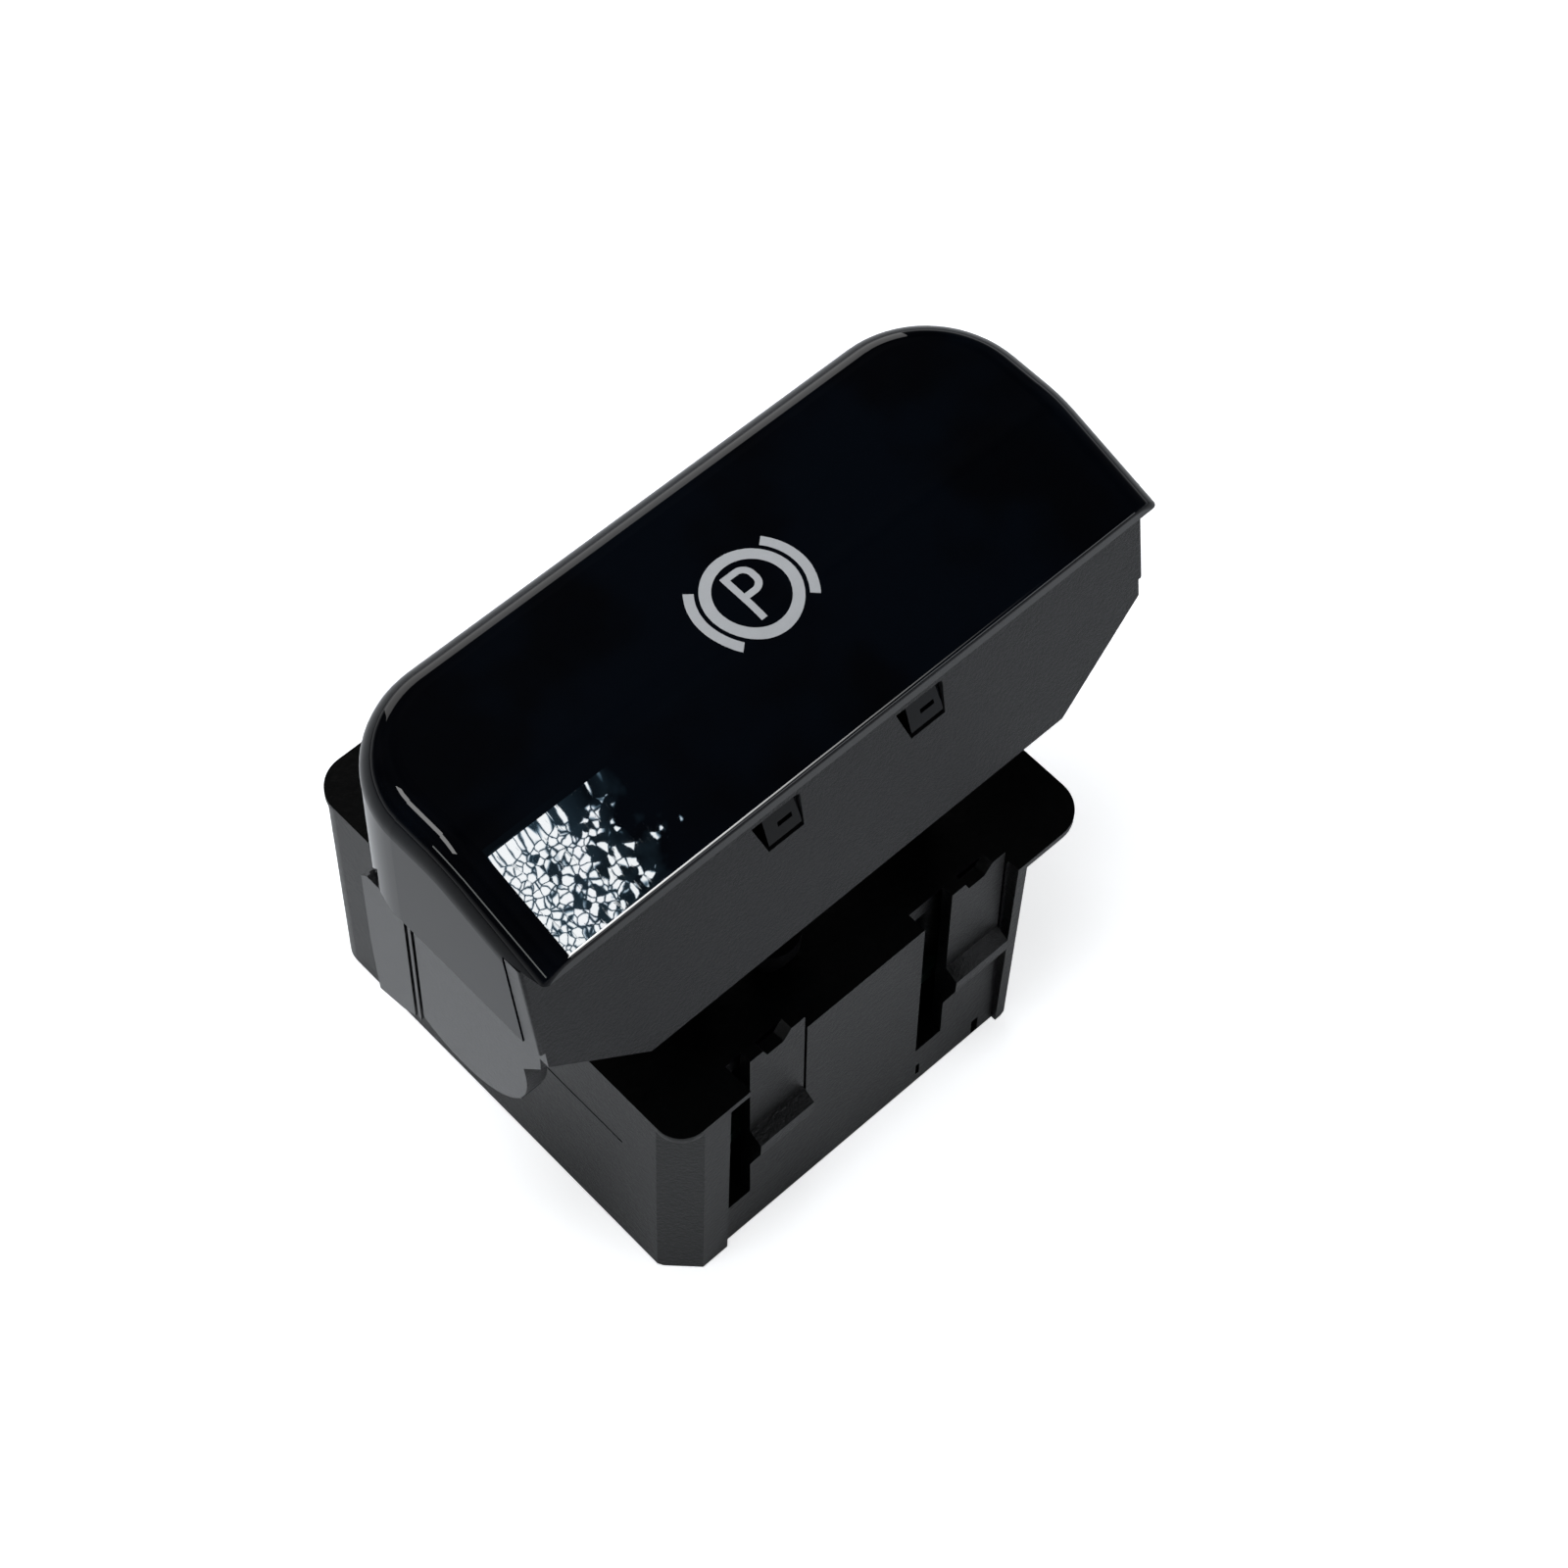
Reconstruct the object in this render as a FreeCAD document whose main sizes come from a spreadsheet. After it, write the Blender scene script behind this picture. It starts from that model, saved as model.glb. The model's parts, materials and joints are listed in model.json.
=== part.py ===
import FreeCAD, Part
import math
import os
import Sketcher
from FreeCAD import Placement, Rotation, Vector

# Electric parking brake switch for a vehicle console, in millimetres.
# X runs along the lever, Y from the finger side to the far side, Z up.
# The origin is in the plane of the housing's bottom rim, below the middle of the flange.

doc = FreeCAD.newDocument("parking_brake_switch")
sheet = doc.addObject("Spreadsheet::Sheet", "Size")


# A size is a formula of the sheet's cells, so that features can be bound to it

class Size:
    def __init__(self, text):
        self.text = text

    def __add__(self, other):
        return Size(f"({self.text} + {text_of(other)})")

    def __radd__(self, other):
        return Size(f"({text_of(other)} + {self.text})")

    def __sub__(self, other):
        return Size(f"({self.text} - {text_of(other)})")

    def __rsub__(self, other):
        return Size(f"({text_of(other)} - {self.text})")

    def __mul__(self, other):
        return Size(f"({self.text} * {text_of(other)})")

    def __rmul__(self, other):
        return Size(f"({text_of(other)} * {self.text})")

    def __truediv__(self, other):
        return Size(f"({self.text} / {text_of(other)})")

    def __neg__(self):
        return Size(f"(0 - {self.text})")

    def __float__(self):
        return float(sheet.evalExpression(self.text))


def text_of(value):
    return value.text if isinstance(value, Size) else repr(value)


def slope_of(angle):
    return Size(f"tan({angle.text} * 1 deg)")


def cell(alias, millimetres):
    """One driving dimension: a named cell that holds a plain number."""
    cell.row += 1
    sheet.set(f"A{cell.row}", alias)
    sheet.set(f"B{cell.row}", str(millimetres))
    sheet.setAlias(f"B{cell.row}", alias)
    return Size(f"Size.{alias}")


cell.row = 0

# Flange and box of the housing
flange_width = cell("flange_width", 48.0)
flange_depth = cell("flange_depth", 47.5)
flange_thickness = cell("flange_thickness", 0.8)
flange_corner = cell("flange_corner", 3.5)
flange_top = cell("flange_top", 27.3)
side_overhang = cell("side_overhang", 7.8)
back_inset = cell("back_inset", 1.0)
side_wall = cell("side_wall", 1.6)
front_wall = cell("front_wall", 2.6)
back_wall = cell("back_wall", 2.4)
deck_thickness = cell("deck_thickness", 2.0)
corner_facet = cell("corner_facet", 2.85)
facet_cover = cell("facet_cover", 2.6)
box_corner = cell("box_corner", 2.6)
bottom_bevel = cell("bottom_bevel", 0.4)
front_inset_bottom = cell("front_inset_bottom", 0.5)
front_inset_top = cell("front_inset_top", 1.2)

# Snap tongues in the front and back walls
tongue_width = cell("tongue_width", 6.3)
near_tongue_left = cell("near_tongue_left", 8.85)
far_tongue_inset = cell("far_tongue_inset", 8.0)
slot_width = cell("slot_width", 3.1)
rim_notch = cell("rim_notch", 0.9)
slit_width = cell("slit_width", 0.3)
slit_bottom = cell("slit_bottom", 14.5)
slot_depth = cell("slot_depth", 21.4)
strip_width = cell("strip_width", 1.1)
hook_drop = cell("hook_drop", 10.1)
hook_reach = cell("hook_reach", 0.45)
hook_slope = cell("hook_slope", 0.9)
hook_lip = cell("hook_lip", 1.6)
hook_ramp = cell("hook_ramp", 6.2)
tongue_rise = cell("tongue_rise", 2.15)
tongue_thickness = cell("tongue_thickness", 1.2)
tongue_room = cell("tongue_room", 0.7)
notch_left = cell("notch_left", 1.55)
notch_width = cell("notch_width", 3.2)
notch_depth = cell("notch_depth", 1.15)

# Pivot of the lever
pivot_inset = cell("pivot_inset", 16.75)
pivot_z = cell("pivot_z", 38.8)
pin_radius = cell("pin_radius", 1.5)
pin_clearance = cell("pin_clearance", 0.05)
bush_wall = cell("bush_wall", 0.65)
tower_middle = cell("tower_middle", 13.0)
tower_thickness = cell("tower_thickness", 3.0)
tower_head = cell("tower_head", 4.0)
tower_foot = cell("tower_foot", 6.0)
cheek_gap = cell("cheek_gap", 0.3)
cheek_thickness = cell("cheek_thickness", 3.0)

# Cap of the lever
lever_half = cell("lever_half", 33.2)
nose_y = cell("nose_y", -18.5)
crest_y = cell("crest_y", -7.45)
crest_z = cell("crest_z", 63.4)
near_slope = cell("near_slope", 17.5)
cap_back = cell("cap_back", 8.25)
cap_corner = cell("cap_corner", 10.0)
cap_edge = cell("cap_edge", 3.3)
crest_radius = cell("crest_radius", 12.0)
nose_radius = cell("nose_radius", 0.5)
nose_height = cell("nose_height", 1.4)
cap_roof = cell("cap_roof", 1.9)
cap_wall = cell("cap_wall", 1.2)
skirt_bottom = cell("skirt_bottom", 47.6)

# Frame of the lever
plate_bottom = cell("plate_bottom", 38.0)
plate_bottom_y = cell("plate_bottom_y", -19.65)
plate_lean = cell("plate_lean", 9.5)
plate_thickness = cell("plate_thickness", 1.8)
plate_foot_half = cell("plate_foot_half", 23.2)
plate_slant_top = cell("plate_slant_top", 45.7)
fit_gap = cell("fit_gap", 0.1)
end_plate_inset = cell("end_plate_inset", 0.6)
end_plate_thickness = cell("end_plate_thickness", 2.1)
end_arc_radius = cell("end_arc_radius", 8.45)
end_plate_front = cell("end_plate_front", -17.35)
end_step_z = cell("end_step_z", 43.9)
end_slope = cell("end_slope", 3.8)
end_corner_y = cell("end_corner_y", -14.6)
end_slot_y = cell("end_slot_y", -2.35)
end_slot_width = cell("end_slot_width", 1.2)
end_slit_width = cell("end_slit_width", 0.4)
end_tongue_back = cell("end_tongue_back", 3.9)
end_tongue_bottom = cell("end_tongue_bottom", 28.6)
frame_deck_bottom = cell("frame_deck_bottom", 47.2)
frame_deck_thickness = cell("frame_deck_thickness", 1.6)
frame_back_half = cell("frame_back_half", 22.5)
frame_back_bottom = cell("frame_back_bottom", 41.0)
window_middle = cell("window_middle", 7.75)
window_width = cell("window_width", 5.1)
window_bottom = cell("window_bottom", 50.2)
window_height = cell("window_height", 4.0)
window_slant = cell("window_slant", 1.35)
hook_width = cell("hook_width", 3.5)

# Yoke under the frame
yoke_thickness = cell("yoke_thickness", 3.0)
yoke_half = cell("yoke_half", 14.0)
yoke_front = cell("yoke_front", -16.0)
yoke_back = cell("yoke_back", 2.8)
hub_radius = cell("hub_radius", 4.2)
arm_width = cell("arm_width", 4.0)
arm_tip_radius = cell("arm_tip_radius", 1.5)

# Plungers, switches and springs
plunger_offset = cell("plunger_offset", 8.0)
plunger_x = cell("plunger_x", -6.2)
plunger_radius = cell("plunger_radius", 2.0)
plunger_clearance = cell("plunger_clearance", 0.06)
plunger_top = cell("plunger_top", 31.3)
plunger_head_radius = cell("plunger_head_radius", 2.9)
plunger_head_height = cell("plunger_head_height", 1.7)
touch_gap = cell("touch_gap", 0.3)
guide_wall = cell("guide_wall", 1.4)
guide_bottom = cell("guide_bottom", 22.5)
collar_top = cell("collar_top", 21.2)
collar_thickness = cell("collar_thickness", 1.0)
collar_radius = cell("collar_radius", 3.2)
stem_radius = cell("stem_radius", 1.5)
stem_bottom = cell("stem_bottom", 14.8)
switch_width = cell("switch_width", 7.6)
switch_height = cell("switch_height", 4.0)
switch_bore_depth = cell("switch_bore_depth", 3.2)
spring_radius = cell("spring_radius", 2.35)
spring_wire = cell("spring_wire", 0.5)
spring_turns = cell("spring_turns", 3.5)

# Circuit board, connector and cover
board_bottom = cell("board_bottom", 11.0)
board_thickness = cell("board_thickness", 1.6)
board_margin = cell("board_margin", 0.8)
cover_thickness = cell("cover_thickness", 2.0)
cover_gap = cell("cover_gap", 0.1)
connector_y = cell("connector_y", 7.0)
socket_width = cell("socket_width", 20.0)
socket_depth = cell("socket_depth", 8.0)
socket_height = cell("socket_height", 9.0)
shroud_wall = cell("shroud_wall", 1.2)
shroud_floor = cell("shroud_floor", 1.0)
key_width = cell("key_width", 1.2)
pin_pitch = cell("pin_pitch", 2.54)
pin_square = cell("pin_square", 0.64)
pin_hole = cell("pin_hole", 0.8)
pin_tip = cell("pin_tip", 4.6)
pin_tail = cell("pin_tail", 1.3)
boss_inset = cell("boss_inset", 3.5)
boss_radius = cell("boss_radius", 2.4)
screw_radius = cell("screw_radius", 1.1)
screw_head_radius = cell("screw_head_radius", 2.0)
screw_head_height = cell("screw_head_height", 1.3)
screw_grip = cell("screw_grip", 6.0)

# Light path of the symbol
light_radius = cell("light_radius", 1.8)
light_gap = cell("light_gap", 0.2)
lower_guide_top = cell("lower_guide_top", 38.2)
upper_guide_bottom = cell("upper_guide_bottom", 39.6)
upper_guide_radius = cell("upper_guide_radius", 2.2)
guide_collar_radius = cell("guide_collar_radius", 5.2)
guide_collar_height = cell("guide_collar_height", 1.2)
lens_y = cell("lens_y", -5.25)
lens_radius = cell("lens_radius", 6.2)
lens_bottom = cell("lens_bottom", 58.9)
lens_thickness = cell("lens_thickness", 1.2)
lens_ring = cell("lens_ring", 1.1)
led_width = cell("led_width", 3.0)
led_height = cell("led_height", 1.0)

doc.recompute()

# Places worked out from the driving dimensions
box_left = -flange_width / 2
box_right = flange_width / 2 - side_overhang
front = -flange_depth / 2
pivot_y = front + pivot_inset
box_back = flange_depth / 2 - back_inset
flange_bottom = flange_top - flange_thickness
deck_bottom = flange_top - deck_thickness
inner_left = box_left + side_wall
inner_right = box_right - side_wall
inner_front = front + front_wall
inner_back = box_back - back_wall
slot_bottom = flange_top - slot_depth
board_top = board_bottom + board_thickness
switch_top = board_top + switch_height
connector_x = (inner_left + inner_right) / 2
nose_z = crest_z - (crest_y - nose_y) * slope_of(near_slope)
frame_deck_top = frame_deck_bottom + frame_deck_thickness
yoke_bottom = frame_deck_bottom - yoke_thickness
bush_radius = pin_radius + pin_clearance + bush_wall
tower_inner = tower_middle - tower_thickness / 2
tower_outer = tower_middle + tower_thickness / 2
cheek_outer = tower_inner - cheek_gap
cheek_inner = cheek_outer - cheek_thickness
arm_left = plunger_x - arm_width / 2
arm_right = plunger_x + arm_width / 2
near_plunger_y = pivot_y - plunger_offset
far_plunger_y = pivot_y + plunger_offset
BEYOND = 3.0
SPANS_IN_TURN = 14


def plate_y(z):
    """Where the leaning front face of the lever stands at a height."""
    return plate_bottom_y + (z - plate_bottom) * slope_of(plate_lean)


# Sketches and features

def new_body(name):
    body = doc.addObject("PartDesign::Body", name)
    body.Label = name
    body.Placement = Placement()
    return body


def new_sketch(body, name, plane, offset):
    sketch = body.newObject("Sketcher::SketchObject", name)
    planes = [item for item in body.Origin.OriginFeatures if item.Role == plane + "_Plane"]
    sketch.AttachmentSupport = [(planes[0], "")]
    sketch.MapMode = "FlatFace"
    facing = -1 if plane == "XZ" else 1
    sketch.setExpression("AttachmentOffset.Base.z", text_of(facing * offset))
    return sketch


def bind(sketch, constraint, size):
    index = sketch.addConstraint(constraint)
    sketch.setExpression(f"Constraints[{index}]", text_of(size))


def draw_outline(sketch, corners):
    first = sketch.GeometryCount
    places = [Vector(float(across), float(up), 0) for across, up in corners]
    count = len(places)
    for number in range(count):
        line = Part.LineSegment(places[number], places[(number + 1) % count])
        sketch.addGeometry(line, False)
    for number in range(count):
        joined = first + (number + 1) % count
        sketch.addConstraint(Sketcher.Constraint("Coincident", first + number, 2, joined, 1))
    for number, (across, up) in enumerate(corners):
        place = places[number]
        bind(sketch, Sketcher.Constraint("DistanceX", -1, 1, first + number, 1, place.x), across)
        bind(sketch, Sketcher.Constraint("DistanceY", -1, 1, first + number, 1, place.y), up)


def draw_circle(sketch, across, up, radius):
    number = sketch.GeometryCount
    middle = Vector(float(across), float(up), 0)
    circle = Part.Circle(middle, Vector(0, 0, 1), float(radius))
    sketch.addGeometry(circle, False)
    bind(sketch, Sketcher.Constraint("DistanceX", -1, 1, number, 3, middle.x), across)
    bind(sketch, Sketcher.Constraint("DistanceY", -1, 1, number, 3, middle.y), up)
    bind(sketch, Sketcher.Constraint("Radius", number, float(radius)), radius)


def draw_rounded_box(sketch, left, right, low, high, radii):
    """A box with a radius at each corner: near left, near right, far right, far left."""
    first = sketch.GeometryCount
    near_left, near_right, far_right, far_left = radii
    sides = [
        ((left + near_left, low), (right - near_right, low)),
        ((right, low + near_right), (right, high - far_right)),
        ((right - far_right, high), (left + far_left, high)),
        ((left, high - far_left), (left, low + near_left)),
    ]
    middles = [
        (right - near_right, low + near_right),
        (right - far_right, high - far_right),
        (left + far_left, high - far_left),
        (left + near_left, low + near_left),
    ]
    for number in range(4):
        ends = [Vector(float(across), float(up), 0) for across, up in sides[number]]
        sketch.addGeometry(Part.LineSegment(*ends), False)
        middle = Vector(float(middles[number][0]), float(middles[number][1]), 0)
        radius = radii[(number + 1) % 4]
        circle = Part.Circle(middle, Vector(0, 0, 1), float(radius))
        turned = (number - 1) * math.pi / 2
        sketch.addGeometry(Part.ArcOfCircle(circle, turned, turned + math.pi / 2), False)
    for number in range(4):
        side = first + 2 * number
        bend = side + 1
        after = first + (2 * number + 2) % 8
        sketch.addConstraint(Sketcher.Constraint("Coincident", side, 2, bend, 1))
        sketch.addConstraint(Sketcher.Constraint("Coincident", bend, 2, after, 1))
        for point in (1, 2):
            across, up = sides[number][point - 1]
            bind(sketch, Sketcher.Constraint("DistanceX", -1, 1, side, point, float(across)), across)
            bind(sketch, Sketcher.Constraint("DistanceY", -1, 1, side, point, float(up)), up)
        radius = radii[(number + 1) % 4]
        bind(sketch, Sketcher.Constraint("Radius", bend, float(radius)), radius)


def grow(body, name, plane, shapes, start, end, cut=False):
    """Add, or cut away, a prism of outlines and circles between two places along an axis."""
    before = 0.0 if body.Tip is None else body.Tip.Shape.Volume
    sketch = new_sketch(body, name + "_sketch", plane, start)
    for shape in shapes:
        if isinstance(shape, list):
            draw_outline(sketch, shape)
        elif len(shape) == 5:
            draw_rounded_box(sketch, *shape)
        else:
            draw_circle(sketch, *shape)
    kind = "PartDesign::Pocket" if cut else "PartDesign::Pad"
    feature = body.newObject(kind, name)
    feature.Profile = sketch
    feature.Reversed = (plane == "XZ") != cut
    feature.setExpression("Length", text_of(end - start))
    sketch.Visibility = False
    doc.recompute()
    changed = feature.Shape.Volume - before
    if (changed < 0) != cut or abs(changed) < 1e-6:
        raise ValueError(f"{name} changes nothing: {changed}")
    return feature


def cut_away(body, name, plane, shapes, start, end):
    return grow(body, name, plane, shapes, start, end, cut=True)


def box_outline(left, right, low, high):
    return [(left, low), (right, low), (right, high), (left, high)]


def turn(body, name, outline, middle_x, middle_y):
    """A revolved solid about a vertical axis; the outline gives radius and height."""
    sketch = new_sketch(body, name + "_sketch", "XZ", middle_y)
    draw_outline(sketch, [(middle_x + radius, height) for radius, height in outline])
    axis = sketch.addGeometry(Part.LineSegment(Vector(float(middle_x), 0, 0),
                                               Vector(float(middle_x), 10, 0)), True)
    sketch.addConstraint(Sketcher.Constraint("Vertical", axis))
    bind(sketch, Sketcher.Constraint("DistanceX", -1, 1, axis, 1, float(middle_x)), middle_x)
    sketch.addConstraint(Sketcher.Constraint("DistanceY", -1, 1, axis, 1, 0.0))
    sketch.addConstraint(Sketcher.Constraint("DistanceY", axis, 1, axis, 2, 10.0))
    revolution = body.newObject("PartDesign::Revolution", name)
    revolution.Profile = sketch
    revolution.ReferenceAxis = (sketch, ["Axis0"])
    revolution.Angle = 360.0
    sketch.Visibility = False
    doc.recompute()
    return revolution


def soften(body, name, radius, wanted, kind="Fillet"):
    """Round or bevel the edges of the body that a test picks."""
    base = body.Tip
    edges = [f"Edge{number + 1}" for number, edge in enumerate(base.Shape.Edges) if wanted(edge)]
    if not edges:
        raise ValueError(f"{name} finds no edge")
    feature = body.newObject("PartDesign::" + kind, name)
    feature.Base = (base, edges)
    feature.setExpression("Radius" if kind == "Fillet" else "Size", text_of(radius))
    doc.recompute()
    return feature


def near(value, target):
    return abs(value - float(target)) < 0.02


def span(edge):
    box = edge.BoundBox
    return box.XLength, box.YLength, box.ZLength


def upright_at(x, y):
    """A test for a vertical edge at a place in plan."""
    def test(edge):
        along_x, along_y, along_z = span(edge)
        middle = edge.BoundBox.Center
        straight = along_x < 0.02 and along_y < 0.02 and along_z > 0.1
        return straight and near(middle.x, x) and near(middle.y, y)
    return test


# Housing: flange, box, snap tongues, pivot towers and guides, one moulding

def front_face(z):
    """The drafted front face between the tongues, at a height."""
    rise = (front_inset_top - front_inset_bottom) / flange_top
    return front + front_inset_bottom + rise * z


def add_tongue(body, name, side, left, slot_top):
    """One snap tongue in its pocket, with a slot to its left and a sloping shelf on its face.

    side is -1 in the front wall and 1 in the back wall.
    """
    right = left + tongue_width
    shelf = flange_top - hook_drop
    foot = shelf - hook_ramp
    base = slot_bottom - 1.0
    top = flange_top + tongue_rise
    reach = side * (flange_depth / 2 + hook_reach)
    top_face = front_face(top) if side < 0 else box_back
    foot_face = front_face(foot) if side < 0 else box_back
    shelf_face = front_face(shelf) if side < 0 else box_back
    base_face = front_face(base) if side < 0 else box_back
    outside = side * (flange_depth / 2 + BEYOND)
    through = inner_front + 0.5 if side < 0 else inner_back - 0.5
    relief = top_face - side * (tongue_thickness + tongue_room)
    above = flange_top + BEYOND
    slit = right + slit_width
    slot = left - slot_width
    openings = [
        ("pocket", left, right, slot_bottom, deck_bottom, through),
        ("relief", left, right, deck_bottom - 0.1, above, relief),
        ("slit", right - 0.1, slit, slit_bottom, deck_bottom, through),
        ("slit_mouth", right - 0.1, slit, deck_bottom - 0.1, above, relief),
        ("slot", slot, left + 0.1, slot_bottom, deck_bottom, through),
        ("slot_mouth", slot, left + 0.1, deck_bottom - 0.1, slot_top, relief),
    ]
    for part, start, end, bottom, top_of_cut, inside in openings:
        low, high = (outside, inside) if side < 0 else (inside, outside)
        cut_away(body, f"{name}_{part}", "XY", [box_outline(start, end, low, high)],
                 bottom, top_of_cut)
    section = [
        (base_face, base),
        (foot_face, foot),
        (reach, shelf - hook_slope - hook_lip),
        (reach, shelf - hook_slope),
        (shelf_face, shelf),
        (top_face, top),
        (top_face - side * tongue_thickness, top),
        (base_face - side * tongue_thickness, base),
    ]
    grow(body, name, "YZ", [section], left, right)
    notch_right = left + notch_left + notch_width
    notch = [
        (left + notch_left, top + 1.0),
        (left + notch_left, top),
        (left + notch_left + 0.5, top - notch_depth),
        (notch_right - 0.9, top - notch_depth),
        (notch_right, top),
        (notch_right, top + 1.0),
    ]
    low, high = (outside, relief) if side < 0 else (relief, outside)
    cut_away(body, name + "_notch", "XZ", [notch], low, high)


def make_housing():
    body = new_body("housing")
    plan = [
        (box_left + corner_facet, front),
        (box_right, front),
        (box_right, box_back),
        (box_left, box_back),
        (box_left, front + corner_facet),
    ]
    grow(body, "box", "XY", [plan], Size("0"), flange_bottom)
    soften(body, "back_corners", box_corner,
           lambda edge: upright_at(box_right, box_back)(edge)
           or upright_at(box_left, box_back)(edge))
    soften(body, "bottom_bevels", bottom_bevel,
           lambda edge: near(edge.BoundBox.ZMax, 0.0) and near(edge.BoundBox.XMax, box_left),
           kind="Chamfer")
    half_width = flange_width / 2
    half_depth = flange_depth / 2
    radii = (facet_cover, flange_corner, flange_corner, flange_corner)
    flange = (-half_width, half_width, -half_depth, half_depth, radii)
    grow(body, "flange", "XY", [flange], flange_bottom, flange_top)

    tongue_left = box_left + near_tongue_left
    second_left = box_right - far_tongue_inset
    recess_right = box_right - strip_width
    ahead = front - BEYOND
    recess = [
        (ahead, -BEYOND),
        (front_face(Size("0")), -BEYOND),
        (front_face(Size("0")), Size("0")),
        (front_face(flange_top), flange_top),
        (front_face(flange_top), flange_top + BEYOND),
        (ahead, flange_top + BEYOND),
    ]
    cut_away(body, "front_recess", "YZ", [recess], tongue_left - rim_notch, recess_right)
    recess_under_rim = [
        (ahead, -BEYOND),
        (front_face(Size("0")), -BEYOND),
        (front_face(Size("0")), Size("0")),
        (front_face(flange_bottom), flange_bottom),
        (ahead, flange_bottom),
    ]
    cut_away(body, "front_recess_under_rim", "YZ", [recess_under_rim],
             tongue_left - slot_width, tongue_left - rim_notch + 0.1)

    cut_away(body, "cavity", "XY", [box_outline(inner_left, inner_right, inner_front, inner_back)],
             -BEYOND + Size("0"), deck_bottom)

    light = (Size("0"), pivot_y, light_radius + pin_clearance)
    bosses = boss_places()
    grow(body, "guide_bosses", "XY",
         [(plunger_x, near_plunger_y, plunger_radius + plunger_clearance + guide_wall),
          (plunger_x, far_plunger_y, plunger_radius + plunger_clearance + guide_wall)],
         guide_bottom, deck_bottom + 0.5)
    grow(body, "light_sleeve", "XY", [(Size("0"), pivot_y, light_radius + 1.0)],
         guide_bottom, deck_bottom + 0.5)
    grow(body, "board_bosses", "XY", [(x, y, boss_radius) for x, y in bosses["board"]],
         board_top, deck_bottom + 0.5)
    grow(body, "cover_bosses", "XY", [(x, y, boss_radius) for x, y in bosses["cover"]],
         cover_thickness, deck_bottom + 0.5)
    pilots = [(x, y, screw_radius) for x, y in bosses["board"]]
    cut_away(body, "board_pilots", "XY", pilots, board_top - 1.0, board_top + screw_grip + 0.5)
    pilots = [(x, y, screw_radius) for x, y in bosses["cover"]]
    cut_away(body, "cover_pilots", "XY", pilots, cover_thickness - 1.0,
             cover_thickness + screw_grip + 0.5)
    bores = [(plunger_x, near_plunger_y, plunger_radius + plunger_clearance),
             (plunger_x, far_plunger_y, plunger_radius + plunger_clearance), light]
    cut_away(body, "guide_bores", "XY", bores, guide_bottom - 1.0, flange_top + 1.0)

    for name, side_x in (("left_tower", -1), ("right_tower", 1)):
        start = -tower_outer if side_x < 0 else tower_inner
        end = -tower_inner if side_x < 0 else tower_outer
        post = [
            (pivot_y - tower_foot, flange_top - 0.5),
            (pivot_y + tower_foot, flange_top - 0.5),
            (pivot_y + tower_head, pivot_z),
            (pivot_y - tower_head, pivot_z),
        ]
        grow(body, name, "YZ", [post], start, end)
        grow(body, name + "_head", "YZ", [(pivot_y, pivot_z, tower_head)], start, end)
        cut_away(body, name + "_bore", "YZ", [(pivot_y, pivot_z, pin_radius)], start, end)

    above = flange_top + BEYOND
    add_tongue(body, "near_front_tongue", -1, tongue_left, flange_bottom)
    add_tongue(body, "far_front_tongue", -1, second_left, above)
    add_tongue(body, "near_back_tongue", 1, tongue_left, flange_bottom)
    add_tongue(body, "far_back_tongue", 1, second_left, flange_bottom)
    cut_away(body, "near_slot_mouth", "XY",
             [box_outline(tongue_left - rim_notch, tongue_left + 0.1, ahead,
                          front_face(flange_top) + tongue_thickness + tongue_room)],
             slot_bottom, above)

    seam_z = flange_top - 9.3
    cut_away(body, "seam_line", "XZ", [box_outline(box_left - 1.0, box_left + 0.2, seam_z,
                                                  seam_z + 0.25)], front + 7.1, box_back - 9.0)
    overhang = flange_width / 2 - box_right
    for number, place in enumerate((front + 4.0, Size("0"), box_back - 4.0)):
        gusset = [
            (box_right - 0.3, flange_bottom - overhang * 0.7),
            (box_right, flange_bottom - overhang * 0.7),
            (box_right + overhang * 0.7, flange_bottom),
            (box_right + overhang * 0.7, flange_bottom + 0.2),
            (box_right - 0.3, flange_bottom + 0.2),
        ]
        grow(body, f"gusset_{number + 1}", "XZ", [gusset], place, place + 1.2)
    edge_notch_x = box_right - 3.8
    cut_away(body, "edge_notch", "XZ", [box_outline(edge_notch_x, edge_notch_x + 0.8,
                                                   Size("0.15"), Size("2.3"))],
             front - 1.0, inner_front - 1.2)
    vent_x = box_right - 10.9
    cut_away(body, "drain_slit", "XZ", [box_outline(vent_x, vent_x + 0.45, Size("1.3"),
                                                   Size("2.9"))], front - 1.0, inner_front - 1.2)
    return body


def boss_places():
    left = inner_left + boss_inset
    right = inner_right - boss_inset
    low = inner_front + boss_inset + 0.4
    high = inner_back - boss_inset
    return {"board": [(left, high), (right, low)], "cover": [(left, low), (right, high)]}


# Cover that closes the housing from below and carries the connector socket

def pin_places():
    rows = (connector_y - pin_pitch / 2, connector_y + pin_pitch / 2)
    return [(connector_x + pin_pitch * (number - 1.5), row) for row in rows for number in range(4)]


def pin_hole_outlines():
    half = pin_hole / 2
    return [box_outline(x - half, x + half, y - half, y + half) for x, y in pin_places()]


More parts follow.
